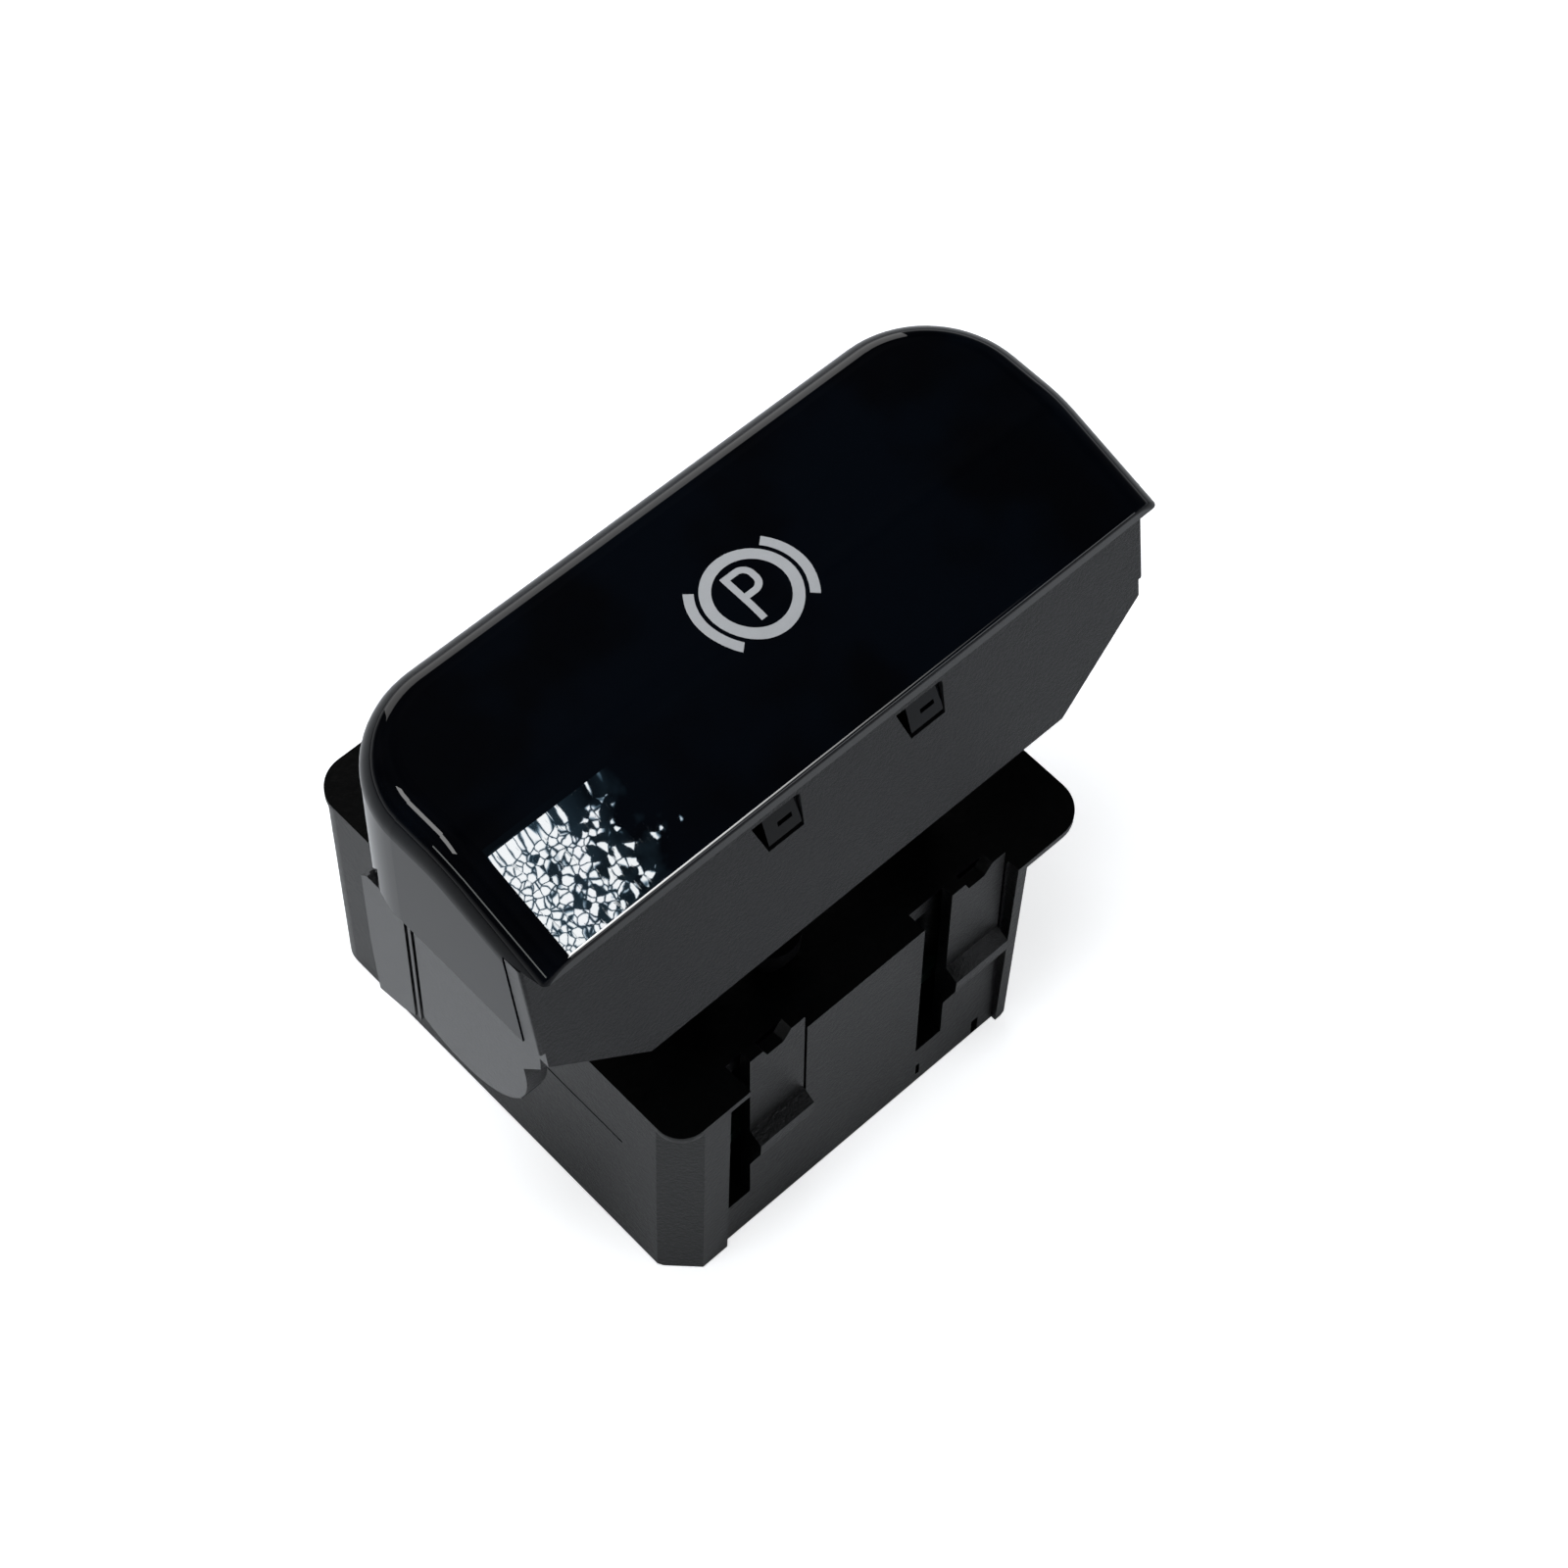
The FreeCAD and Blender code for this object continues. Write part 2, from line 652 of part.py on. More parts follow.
def make_bottom_cover():
    body = new_body("bottom_cover")
    plate = box_outline(inner_left + cover_gap, inner_right - cover_gap,
                        inner_front + cover_gap, inner_back - cover_gap)
    grow(body, "cover_plate", "XY", [plate], Size("0"), cover_thickness)
    half_width = socket_width / 2 + shroud_wall
    half_depth = socket_depth / 2 + shroud_wall
    top = socket_height + shroud_floor
    shroud = box_outline(connector_x - half_width, connector_x + half_width,
                         connector_y - half_depth, connector_y + half_depth)
    grow(body, "shroud", "XY", [shroud], cover_thickness - 0.5, top)
    cavity = box_outline(connector_x - socket_width / 2, connector_x + socket_width / 2,
                         connector_y - socket_depth / 2, connector_y + socket_depth / 2)
    cut_away(body, "socket", "XY", [cavity], Size("-1"), socket_height)
    wall = connector_y + socket_depth / 2
    for number, place in enumerate((connector_x - 6.0, connector_x + 4.0)):
        key = box_outline(place, place + key_width, wall - 0.8, wall + 0.2)
        grow(body, f"key_{number + 1}", "XY", [key], Size("0.5"), socket_height + 0.2)
    cut_away(body, "pin_holes", "XY", pin_hole_outlines(), socket_height - 0.5, top + 1.0)
    holes = [(x, y, screw_radius + 0.1) for x, y in boss_places()["cover"]]
    cut_away(body, "screw_holes", "XY", holes, Size("-1"), cover_thickness + 1.0)
    heads = [(x, y, screw_head_radius + 0.2) for x, y in boss_places()["cover"]]
    cut_away(body, "head_recesses", "XY", heads, Size("-1"), screw_head_height + 0.1)
    posts = [(connector_x - 8.0, inner_front + 8.0, Size("1.5")),
             (connector_x + 8.0, inner_front + 8.0, Size("1.5"))]
    grow(body, "board_posts", "XY", posts, cover_thickness - 0.5, board_bottom)
    return body


def make_circuit_board():
    body = new_body("circuit_board")
    left = inner_left + board_margin
    right = inner_right - board_margin
    low = inner_front + board_margin
    high = inner_back - board_margin
    room = boss_inset + boss_radius + 0.4
    plan = [
        (left + room, low),
        (right, low),
        (right, high - room),
        (right - room, high - room),
        (right - room, high),
        (left, high),
        (left, low + room),
        (left + room, low + room),
    ]
    grow(body, "board", "XY", [plan], board_bottom, board_top)
    holes = [(x, y, screw_radius + 0.1) for x, y in boss_places()["board"]]
    holes += pin_hole_outlines()
    cut_away(body, "board_holes", "XY", holes, board_bottom - 1.0, board_top + 1.0)
    return body


def make_switch(name, middle_y):
    body = new_body(name)
    half = switch_width / 2
    square = box_outline(plunger_x - half, plunger_x + half, middle_y - half, middle_y + half)
    grow(body, name + "_case", "XY", [square], board_top, switch_top)
    soften(body, name + "_edges", Size("0.5"), lambda edge: span(edge)[2] > 1.0)
    cut_away(body, name + "_bore", "XY",
             [(plunger_x, middle_y, stem_radius + plunger_clearance)],
             switch_top - switch_bore_depth, switch_top + 1.0)
    return body


def make_plunger(name, middle_y):
    body = new_body(name)
    collar_bottom = collar_top - collar_thickness
    head_bottom = plunger_top - plunger_head_height
    outline = [
        (Size("0"), stem_bottom),
        (stem_radius, stem_bottom),
        (stem_radius, collar_bottom),
        (collar_radius, collar_bottom),
        (collar_radius, collar_top),
        (plunger_radius, collar_top),
        (plunger_radius, head_bottom),
        (plunger_head_radius, head_bottom),
        (plunger_head_radius, plunger_top),
        (Size("0"), plunger_top),
    ]
    turn(body, name + "_turned", outline, plunger_x, middle_y)
    return body


def make_spring(name, middle_y):
    """A coil spring whose square wire follows short straight spans."""
    wire = float(spring_wire) / 2
    radius = float(spring_radius)
    low = float(switch_top) + wire
    high = float(collar_top - collar_thickness) - wire - 0.06
    spans = round(float(spring_turns) * SPANS_IN_TURN)
    places = []
    for number in range(spans + 1):
        angle = 2 * math.pi * number / SPANS_IN_TURN
        rise = (high - low) * number / spans
        places.append(Vector(radius * math.cos(angle), radius * math.sin(angle), low + rise))
    corners = [(-wire, -wire), (wire, -wire), (wire, wire), (-wire, wire), (-wire, -wire)]
    section = Part.makePolygon([Vector(radius + out, 0, low + up) for out, up in corners])
    spring = doc.addObject("Part::Feature", name)
    spring.Shape = Part.makePolygon(places).makePipeShell([section], True, False, 1)
    spring.Placement = Placement(Vector(float(plunger_x), float(middle_y), 0), Rotation())
    spring.Label = name
    return spring


# Lever: gloss cap, matt frame, yoke, bushes and light guide

def make_cap_form(name, inset, roof):
    """The outer or the inner form of the cap, before one is cut out of the other."""
    body = new_body(name)
    half = lever_half - inset
    back = cap_back - inset
    corner = cap_corner - inset
    foot = skirt_bottom if inset == 0 else skirt_bottom - BEYOND
    start = nose_y if inset == 0 else plate_y(nose_z - nose_height) + 0.35
    grow(body, name + "_plan", "XY", [box_outline(-half, half, start, back)], foot,
         crest_z + BEYOND)
    soften(body, name + "_corners", corner,
           lambda edge: near(abs(edge.BoundBox.Center.x), half)
           and near(edge.BoundBox.Center.y, back) and span(edge)[2] > 1.0)
    ahead = nose_y - BEYOND
    above = [
        (ahead, crest_z - roof - (crest_y - ahead) * slope_of(near_slope)),
        (crest_y, crest_z - roof),
        (cap_back + BEYOND, crest_z - roof),
        (cap_back + BEYOND, crest_z + BEYOND * 2),
        (ahead, crest_z + BEYOND * 2),
    ]
    cut_away(body, name + "_top", "YZ", [above], -lever_half - 1.0, lever_half + 1.0)
    if inset == 0:
        chin = nose_z - nose_height
        low = skirt_bottom - 1.0
        behind = plate_thickness + fit_gap
        below_nose = [
            (ahead, chin),
            (plate_y(chin) + behind, chin),
            (plate_y(low) + behind, low),
            (ahead, low),
        ]
        cut_away(body, name + "_front", "YZ", [below_nose], -lever_half - 1.0, lever_half + 1.0)
        soften(body, name + "_crest", crest_radius,
               lambda edge: span(edge)[0] > 10 and near(edge.BoundBox.Center.y, crest_y))
        soften(body, name + "_rim", cap_edge, is_cap_rim)
        soften(body, name + "_nose", nose_radius,
               lambda edge: span(edge)[0] > 10 and near(edge.BoundBox.Center.y, nose_y)
               and edge.BoundBox.Center.z > float(nose_z) - 0.3)
    else:
        opening = box_outline(ahead, start + 0.5, foot, nose_z - nose_height)
        grow(body, name + "_front", "YZ", [opening], -half, half)
        ring = [(Size("0.4"), lens_y, lens_radius + fit_gap + lens_ring),
                (Size("0.4"), lens_y, lens_radius + fit_gap)]
        cut_away(body, name + "_lens_ring", "XY", ring, lens_bottom, crest_z)
    return body


def is_cap_rim(edge):
    """Edges between the top of the cap and its ends, far corners and far side."""
    middle = edge.valueAt((edge.FirstParameter + edge.LastParameter) / 2)
    box = edge.BoundBox
    if box.ZMin < float(nose_z) - 0.3:
        return False
    at_end = near(abs(middle.x), lever_half) and near(box.XLength, 0.0) and middle.y < float(cap_back)
    at_back = near(middle.y, cap_back) and box.YLength < 0.02
    reach = math.hypot(abs(middle.x) - float(lever_half - cap_corner),
                       middle.y - float(cap_back - cap_corner))
    at_corner = near(reach, cap_corner) and box.XLength > 1.0 and box.YLength > 1.0
    if at_end and box.YLength < 0.02:
        return False
    return at_end or at_back or at_corner


def hook_outline():
    """Section of the cap's snap hook, which fills most of a window of the front plate."""
    top = nose_z - nose_height + 1.2
    back_face = plate_thickness + 0.2
    low = window_bottom + 0.12
    high = window_bottom + window_height - 0.15
    return [
        (plate_y(top) + back_face, top),
        (plate_y(high) + back_face, high + 0.1),
        (plate_y(high) + 0.75, high),
        (plate_y(low) + 0.15, low + 0.3),
        (plate_y(low) + 0.4, low),
        (plate_y(low) + back_face + 1.2, low),
        (plate_y(top) + back_face + 1.3, top),
    ]


def make_lever_cap():
    outer = make_cap_form("cap_outside", 0, 0)
    inner = make_cap_form("cap_inside", cap_wall, cap_roof)
    shell = doc.addObject("Part::Cut", "cap_shell")
    shell.Base = outer
    shell.Tool = inner
    hooks = []
    for number, middle in enumerate((-window_middle, window_middle)):
        name = f"cap_hook_{number + 1}"
        hook = new_body(name)
        right = middle + window_width / 2 - 0.1
        left = right - hook_width
        grow(hook, name + "_section", "YZ", [hook_outline()], left, right)
        dimple = box_outline(left + 1.3, left + 2.8, window_bottom + 1.5, window_bottom + 1.95)
        behind = plate_y(window_bottom) + 2.0
        cut_away(hook, name + "_dimple", "XZ", [dimple], behind - BEYOND, behind)
        hooks.append(hook)
    doc.recompute()
    cap = doc.addObject("Part::MultiFuse", "lever_cap")
    cap.Shapes = [shell] + hooks
    cap.Refine = True
    cap.Label = "lever_cap"
    doc.recompute()
    return cap


def make_lever_frame():
    body = new_body("lever_frame")
    half = lever_half - cap_wall - fit_gap
    top = nose_z - nose_height - fit_gap
    section = [
        (plate_y(plate_bottom), plate_bottom),
        (plate_y(plate_bottom) + plate_thickness, plate_bottom),
        (plate_y(top) + plate_thickness, top),
        (plate_y(top), top),
    ]
    plate_half = lever_half - fit_gap
    grow(body, "front_plate", "YZ", [section], -plate_half, plate_half)
    ahead = plate_bottom_y - BEYOND
    behind = pivot_y
    outer = lever_half - end_plate_inset
    for name, side in (("left_slant", -1), ("right_slant", 1)):
        slant = [
            (side * plate_foot_half, plate_bottom - 1.0),
            (side * plate_foot_half, plate_bottom),
            (side * outer, plate_slant_top),
            (side * outer, skirt_bottom),
            (side * (lever_half + 2.0), skirt_bottom),
            (side * (lever_half + 2.0), plate_bottom - 1.0),
        ]
        cut_away(body, name, "XZ", [slant], ahead, behind)
    soften(body, "plate_ends", Size("0.3"),
           lambda edge: near(abs(edge.BoundBox.Center.x), plate_half) and span(edge)[2] > 5
           and edge.BoundBox.Center.y < float(plate_y(Size(str(edge.BoundBox.Center.z)))) + 0.1)
    deck_front = plate_y(frame_deck_bottom) + plate_thickness - 0.5
    deck_back = cap_back - cap_wall - 0.65
    corner = cap_corner - cap_wall
    deck = [
        (-half, deck_front),
        (half, deck_front),
        (half, deck_back - corner),
        (half - corner, deck_back),
        (-half + corner, deck_back),
        (-half, deck_back - corner),
    ]
    grow(body, "frame_deck", "XY", [deck], frame_deck_bottom, frame_deck_top)
    back = box_outline(deck_back - 1.5, deck_back, frame_back_bottom, frame_deck_top)
    grow(body, "back_plate", "YZ", [back], -frame_back_half, frame_back_half)

    inner = outer - end_plate_thickness
    slot_back = end_slot_y + end_slot_width
    hem = skirt_bottom - fit_gap
    cheek = [
        (end_plate_front, hem),
        (end_plate_front, end_step_z),
        (end_corner_y, end_step_z - end_slope),
        (end_corner_y, pivot_z - 4.0),
        (pivot_y - 4.0, pivot_z - 7.0),
        (pivot_y + 4.0, pivot_z - 7.0),
        (end_slot_y, pivot_z - 5.6),
        (end_slot_y, hem),
    ]
    tongue = [
        (slot_back, hem),
        (slot_back, end_tongue_bottom + 1.6),
        (slot_back + 1.6, end_tongue_bottom + 0.7),
        (end_tongue_back - 0.4, end_tongue_bottom),
        (end_tongue_back, end_tongue_bottom + 8.0),
        (end_tongue_back, hem - 0.8),
        (end_tongue_back - 0.8, hem),
    ]
    rib = box_outline(end_slot_y + end_slit_width, slot_back - end_slit_width,
                      end_tongue_bottom + 2.0, hem)
    corner_y = cap_back - cap_corner + 1.0
    rebate = [
        (plate_y(skirt_bottom) + 0.4, skirt_bottom - 2.0),
        (corner_y, skirt_bottom - 2.0),
        (corner_y, skirt_bottom + 2.5),
        (plate_y(skirt_bottom) + 0.8, skirt_bottom + 2.5),
    ]
    root = box_outline(corner_y - 0.6, end_tongue_back - 0.6, skirt_bottom - 2.4, hem)
    for name, side in (("left", -1), ("right", 1)):
        start = -outer if side < 0 else inner
        end = -inner if side < 0 else outer
        deep = inner - 0.6
        grow(body, name + "_rebate", "YZ", [rebate], -half if side < 0 else deep,
             -deep if side < 0 else half)
        grow(body, name + "_cheek", "YZ", [cheek], start, end)
        grow(body, name + "_arc", "YZ", [(pivot_y, pivot_z, end_arc_radius)], start, end)
        grow(body, name + "_end_tongue", "YZ", [tongue], start, end)
        grow(body, name + "_end_rib", "YZ", [rib], start, end)
        for part, low in (("front", end_slot_y), ("back", slot_back - end_slit_width)):
            slit = box_outline(low, low + end_slit_width, end_tongue_bottom - 3.0, hem - 0.6)
            cut_away(body, f"{name}_{part}_slit", "YZ", [slit], start - 0.2, end + 0.2)
        root_start = -outer + 0.4 if side < 0 else half - corner + 2.0
        root_end = -half + corner - 2.0 if side < 0 else outer - 0.4
        grow(body, name + "_tongue_root", "YZ", [root], root_start, root_end)

    for name, middle in (("left_window", -window_middle), ("right_window", window_middle)):
        left = middle - window_width / 2
        right = middle + window_width / 2
        window = [
            (left, window_bottom + window_height),
            (left + window_slant, window_bottom),
            (right, window_bottom),
            (right, window_bottom + window_height - 0.3),
            (right - 0.3, window_bottom + window_height),
        ]
        cut_away(body, name, "XZ", [window], ahead, plate_y(window_bottom) + 3.6)

    for number, place in enumerate((-24.0, 24.0)):
        rib = [
            (plate_y(plate_bottom) + 1.0, plate_bottom + 2.0),
            (plate_y(plate_bottom) + 2.2, plate_bottom + 2.0),
            (plate_y(frame_deck_bottom) + 7.0, frame_deck_bottom + 0.3),
            (plate_y(frame_deck_bottom) + 1.0, frame_deck_bottom + 0.3),
        ]
        low = Size(repr(place)) - 0.6
        grow(body, f"plate_rib_{number + 1}", "YZ", [rib], low, low + 1.2)

    cut_away(body, "light_hole", "XY", [(Size("0"), pivot_y, upper_guide_radius + fit_gap)],
             frame_deck_bottom - 1.0, frame_deck_top + 1.0)
    grow(body, "yoke_bosses", "XY", [(x, y, boss_radius) for x, y in yoke_screw_places()],
         frame_deck_top - 0.5, frame_deck_top + 4.0)
    pilots = [(x, y, screw_radius) for x, y in yoke_screw_places()]
    cut_away(body, "yoke_pilots", "XY", pilots, frame_deck_bottom - 1.0, frame_deck_top + 3.2)
    return body


def yoke_screw_places():
    return [(Size("5.2"), pivot_y - 6.0), (Size("5.2"), pivot_y + 6.5)]


def make_lever_yoke():
    body = new_body("lever_yoke")
    plate = box_outline(-yoke_half, yoke_half, yoke_front, yoke_back)
    grow(body, "yoke_plate", "XY", [plate], yoke_bottom, frame_deck_bottom)
    leg = [
        (pivot_y - hub_radius, pivot_z),
        (pivot_y + hub_radius, pivot_z),
        (pivot_y + hub_radius + 0.8, yoke_bottom + 0.5),
        (pivot_y - hub_radius - 0.8, yoke_bottom + 0.5),
    ]
    for name, side in (("left", -1), ("right", 1)):
        start = -cheek_outer if side < 0 else cheek_inner
        end = -cheek_inner if side < 0 else cheek_outer
        grow(body, name + "_leg", "YZ", [leg], start, end)
        grow(body, name + "_hub", "YZ", [(pivot_y, pivot_z, hub_radius)], start, end)
        cut_away(body, name + "_bush_bore", "YZ", [(pivot_y, pivot_z, bush_radius)], start, end)
    tip = plunger_top + touch_gap + arm_tip_radius
    for name, place in (("near", near_plunger_y), ("far", far_plunger_y)):
        arm = box_outline(place - arm_tip_radius, place + arm_tip_radius, tip, yoke_bottom + 0.5)
        grow(body, name + "_arm", "YZ", [arm], arm_left, arm_right)
        grow(body, name + "_arm_tip", "YZ", [(place, tip, arm_tip_radius)], arm_left, arm_right)
    brace = [
        (near_plunger_y, yoke_bottom + 0.5),
        (near_plunger_y, yoke_bottom - 5.0),
        (pivot_y, yoke_bottom - 2.0),
        (far_plunger_y, yoke_bottom - 5.0),
        (far_plunger_y, yoke_bottom + 0.5),
    ]
    grow(body, "arm_brace", "YZ", [brace], plunger_x - 0.7, plunger_x + 0.7)
    cut_away(body, "yoke_light_hole", "XY", [(Size("0"), pivot_y, upper_guide_radius + fit_gap)],
             yoke_bottom - 1.0, frame_deck_bottom + 1.0)
    holes = [(x, y, screw_radius + 0.1) for x, y in yoke_screw_places()]
    cut_away(body, "yoke_screw_holes", "XY", holes, yoke_bottom - 1.0, frame_deck_bottom + 1.0)
    return body


def make_upper_light_guide():
    body = new_body("light_guide_upper")
    collar_z = frame_deck_top
    outline = [
        (Size("0"), upper_guide_bottom),
        (upper_guide_radius, upper_guide_bottom),
        (upper_guide_radius, collar_z),
        (guide_collar_radius, collar_z),
        (guide_collar_radius, collar_z + guide_collar_height),
        (upper_guide_radius, collar_z + guide_collar_height),
        (upper_guide_radius, lens_bottom - light_gap),
        (Size("0"), lens_bottom - light_gap),
    ]
    turn(body, "guide_turned", outline, Size("0"), pivot_y)
    return body


def make_round(name, radius, start, end, plane, across, up):
    body = new_body(name)
    grow(body, name + "_round", plane, [(across, up, radius)], start, end)
    return body


def make_bush(name, side):
    body = new_body(name)
    start = -cheek_outer if side < 0 else cheek_inner
    end = -cheek_inner if side < 0 else cheek_outer
    ring = [(pivot_y, pivot_z, bush_radius), (pivot_y, pivot_z, pin_radius + pin_clearance)]
    grow(body, name + "_ring", "YZ", [ring[0], ring[1]], start, end)
    return body


def make_pin(name, side):
    start = -tower_outer if side < 0 else cheek_inner
    end = -cheek_inner if side < 0 else tower_outer
    return make_round(name, pin_radius, start, end, "YZ", pivot_y, pivot_z)


def make_screws(name, places, head_low, shaft_top):
    """Thread-forming screws, driven from below; one node holds the fuse of separate solids."""
    solids = []
    for number, (x, y) in enumerate(places):
        head_high = head_low + screw_head_height
        outline = [
            (Size("0"), head_low),
            (screw_head_radius, head_low),
            (screw_head_radius, head_high),
            (screw_radius, head_high),
            (screw_radius, shaft_top),
            (Size("0"), shaft_top),
        ]
        body = new_body(f"{name}_{number + 1}")
        turn(body, f"{name}_{number + 1}_turned", outline, x, y)
        half = Size("0.65")
        drive = box_outline(x - half, x + half, y - half, y + half)
        cut_away(body, f"{name}_{number + 1}_drive", "XY", [drive], head_low - 1.0,
                 head_low + 0.8)
        solids.append(body)
    return group(name, solids)


def group(name, solids):
    compound = doc.addObject("Part::Compound", name)
    compound.Links = solids
    compound.Label = name
    doc.recompute()
    return compound


def make_block(name, middle_x, middle_y, width, depth, low, height):
    block = doc.addObject("Part::Box", name)
    block.setExpression("Length", text_of(width))
    block.setExpression("Width", text_of(depth))
    block.setExpression("Height", text_of(height))
    block.setExpression("Placement.Base.x", text_of(middle_x - width / 2))
    block.setExpression("Placement.Base.y", text_of(middle_y - depth / 2))
    block.setExpression("Placement.Base.z", text_of(low))
    block.Label = name
    return block


def make_terminal_pins():
    length = board_top + pin_tail - pin_tip
    blades = [make_block(f"terminal_{number + 1}", x, y, pin_square, pin_square, pin_tip, length)
              for number, (x, y) in enumerate(pin_places())]
    return group("terminal_pins", blades)


def make_chip_resistors():
    right = inner_right - board_margin - 3.0
    left = inner_left + board_margin + 2.6
    places = [(right - column, pivot_y + row) for column in (Size("0"), Size("3.0"))
              for row in (Size("-1.0"), Size("3.0"), Size("7.0"))]
    places += [(left, pivot_y + 10.0), (left, pivot_y + 14.0)]
    chips = [make_block(f"resistor_{number + 1}", x, y, Size("2.0"), Size("1.25"), board_top,
                        Size("0.6")) for number, (x, y) in enumerate(places)]
    return group("chip_resistors", chips)


def build():
    yoke_screw_head = yoke_bottom - screw_head_height
    cover_head = Size("0.1")
    board_head = board_bottom - screw_head_height
    places = boss_places()
    return [
        make_housing(),
        make_bottom_cover(),
        make_circuit_board(),
        make_terminal_pins(),
        make_chip_resistors(),
        make_block("control_chip", inner_left + board_margin + 3.4, pivot_y + 1.0, Size("5.0"),
                   Size("4.4"), board_top, Size("1.4")),
        make_block("symbol_led", Size("0"), pivot_y, led_width, led_width * 0.8, board_top,
                   led_height),
        make_switch("release_switch", near_plunger_y),
        make_switch("apply_switch", far_plunger_y),
        make_plunger("release_plunger", near_plunger_y),
        make_plunger("apply_plunger", far_plunger_y),
        make_spring("release_spring", near_plunger_y),
        make_spring("apply_spring", far_plunger_y),
        make_round("light_guide_lower", light_radius, board_top + led_height + light_gap,
                   lower_guide_top, "XY", Size("0"), pivot_y),
        make_pin("pivot_pin_left", -1),
        make_pin("pivot_pin_right", 1),
        make_screws("board_screws", places["board"], board_head, board_top + screw_grip),
        make_screws("cover_screws", places["cover"], cover_head, cover_thickness + screw_grip),
        make_lever_cap(),
        make_lever_frame(),
        make_lever_yoke(),
        make_screws("yoke_screws", yoke_screw_places(), yoke_screw_head, frame_deck_top + 3.0),
        make_bush("pivot_bush_left", -1),
        make_bush("pivot_bush_right", 1),
        make_upper_light_guide(),
        make_round("symbol_lens", lens_radius, lens_bottom, lens_bottom + lens_thickness, "XY",
                   Size("0.4"), lens_y),
    ]


nodes = build()
doc.recompute()

faults = [item.Name for item in doc.Objects if "Invalid" in item.State or "Error" in item.State]
if faults:
    raise ValueError(f"failed features: {faults}")
for node in nodes:
    if node.Shape.isNull() or not node.Shape.isValid():
        raise ValueError(f"{node.Label} has no valid shape")

os.makedirs("parts", exist_ok=True)
for node in nodes:
    node.Shape.exportStep(f"parts/{node.Label}.step")
    print(node.Label, len(node.Shape.Solids), round(node.Shape.Volume, 1))
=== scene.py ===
import bpy
import bmesh
import json
import math
from mathutils import Matrix, Vector


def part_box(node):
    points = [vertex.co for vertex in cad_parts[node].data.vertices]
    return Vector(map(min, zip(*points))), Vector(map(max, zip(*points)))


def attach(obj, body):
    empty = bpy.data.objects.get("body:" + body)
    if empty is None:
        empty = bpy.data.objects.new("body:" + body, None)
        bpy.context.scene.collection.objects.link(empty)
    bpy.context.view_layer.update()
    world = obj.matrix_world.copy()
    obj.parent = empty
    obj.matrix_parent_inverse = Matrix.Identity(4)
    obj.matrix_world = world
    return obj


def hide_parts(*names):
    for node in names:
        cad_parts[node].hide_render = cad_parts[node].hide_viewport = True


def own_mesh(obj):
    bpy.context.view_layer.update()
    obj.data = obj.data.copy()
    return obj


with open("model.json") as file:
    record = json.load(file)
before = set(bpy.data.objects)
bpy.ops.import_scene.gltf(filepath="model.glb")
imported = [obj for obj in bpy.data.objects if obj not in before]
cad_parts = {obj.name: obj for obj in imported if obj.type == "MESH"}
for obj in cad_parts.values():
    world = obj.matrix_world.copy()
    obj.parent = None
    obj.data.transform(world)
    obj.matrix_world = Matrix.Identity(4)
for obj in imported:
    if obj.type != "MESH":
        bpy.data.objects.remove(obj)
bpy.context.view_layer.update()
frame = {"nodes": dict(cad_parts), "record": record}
nodes = frame["nodes"]

MM = 0.001


# Node trees, with arithmetic on their sockets

class Wire:
    """A node's output that can be added, scaled and compared."""

    def __init__(self, tree, socket):
        self.tree = tree
        self.socket = socket

    def _math(self, operation, *values):
        return self.tree.wire(0, "ShaderNodeMath", {"operation": operation}, *values)

    def __add__(self, other):
        return self._math("ADD", self, other)

    def __radd__(self, other):
        return self._math("ADD", other, self)

    def __sub__(self, other):
        return self._math("SUBTRACT", self, other)

    def __rsub__(self, other):
        return self._math("SUBTRACT", other, self)

    def __mul__(self, other):
        return self._math("MULTIPLY", self, other)

    def __rmul__(self, other):
        return self._math("MULTIPLY", other, self)

    def __truediv__(self, other):
        return self._math("DIVIDE", self, other)

    def __rtruediv__(self, other):
        return self._math("DIVIDE", other, self)

    def absolute(self):
        return self._math("ABSOLUTE", self)

    def wave(self):
        return self._math("SINE", self)

    def least(self, other):
        return self._math("MINIMUM", self, other)

    def most(self, other):
        return self._math("MAXIMUM", self, other)

    def clamp(self):
        return self.tree.wire(0, "ShaderNodeClamp", {}, self)

    def above(self, edge, soft):
        """0 below edge - soft, 1 above edge + soft, and a smooth step between."""
        return self.tree.wire(0, "ShaderNodeMapRange", {"interpolation_type": "SMOOTHSTEP"},
                              self, edge - soft, edge + soft)


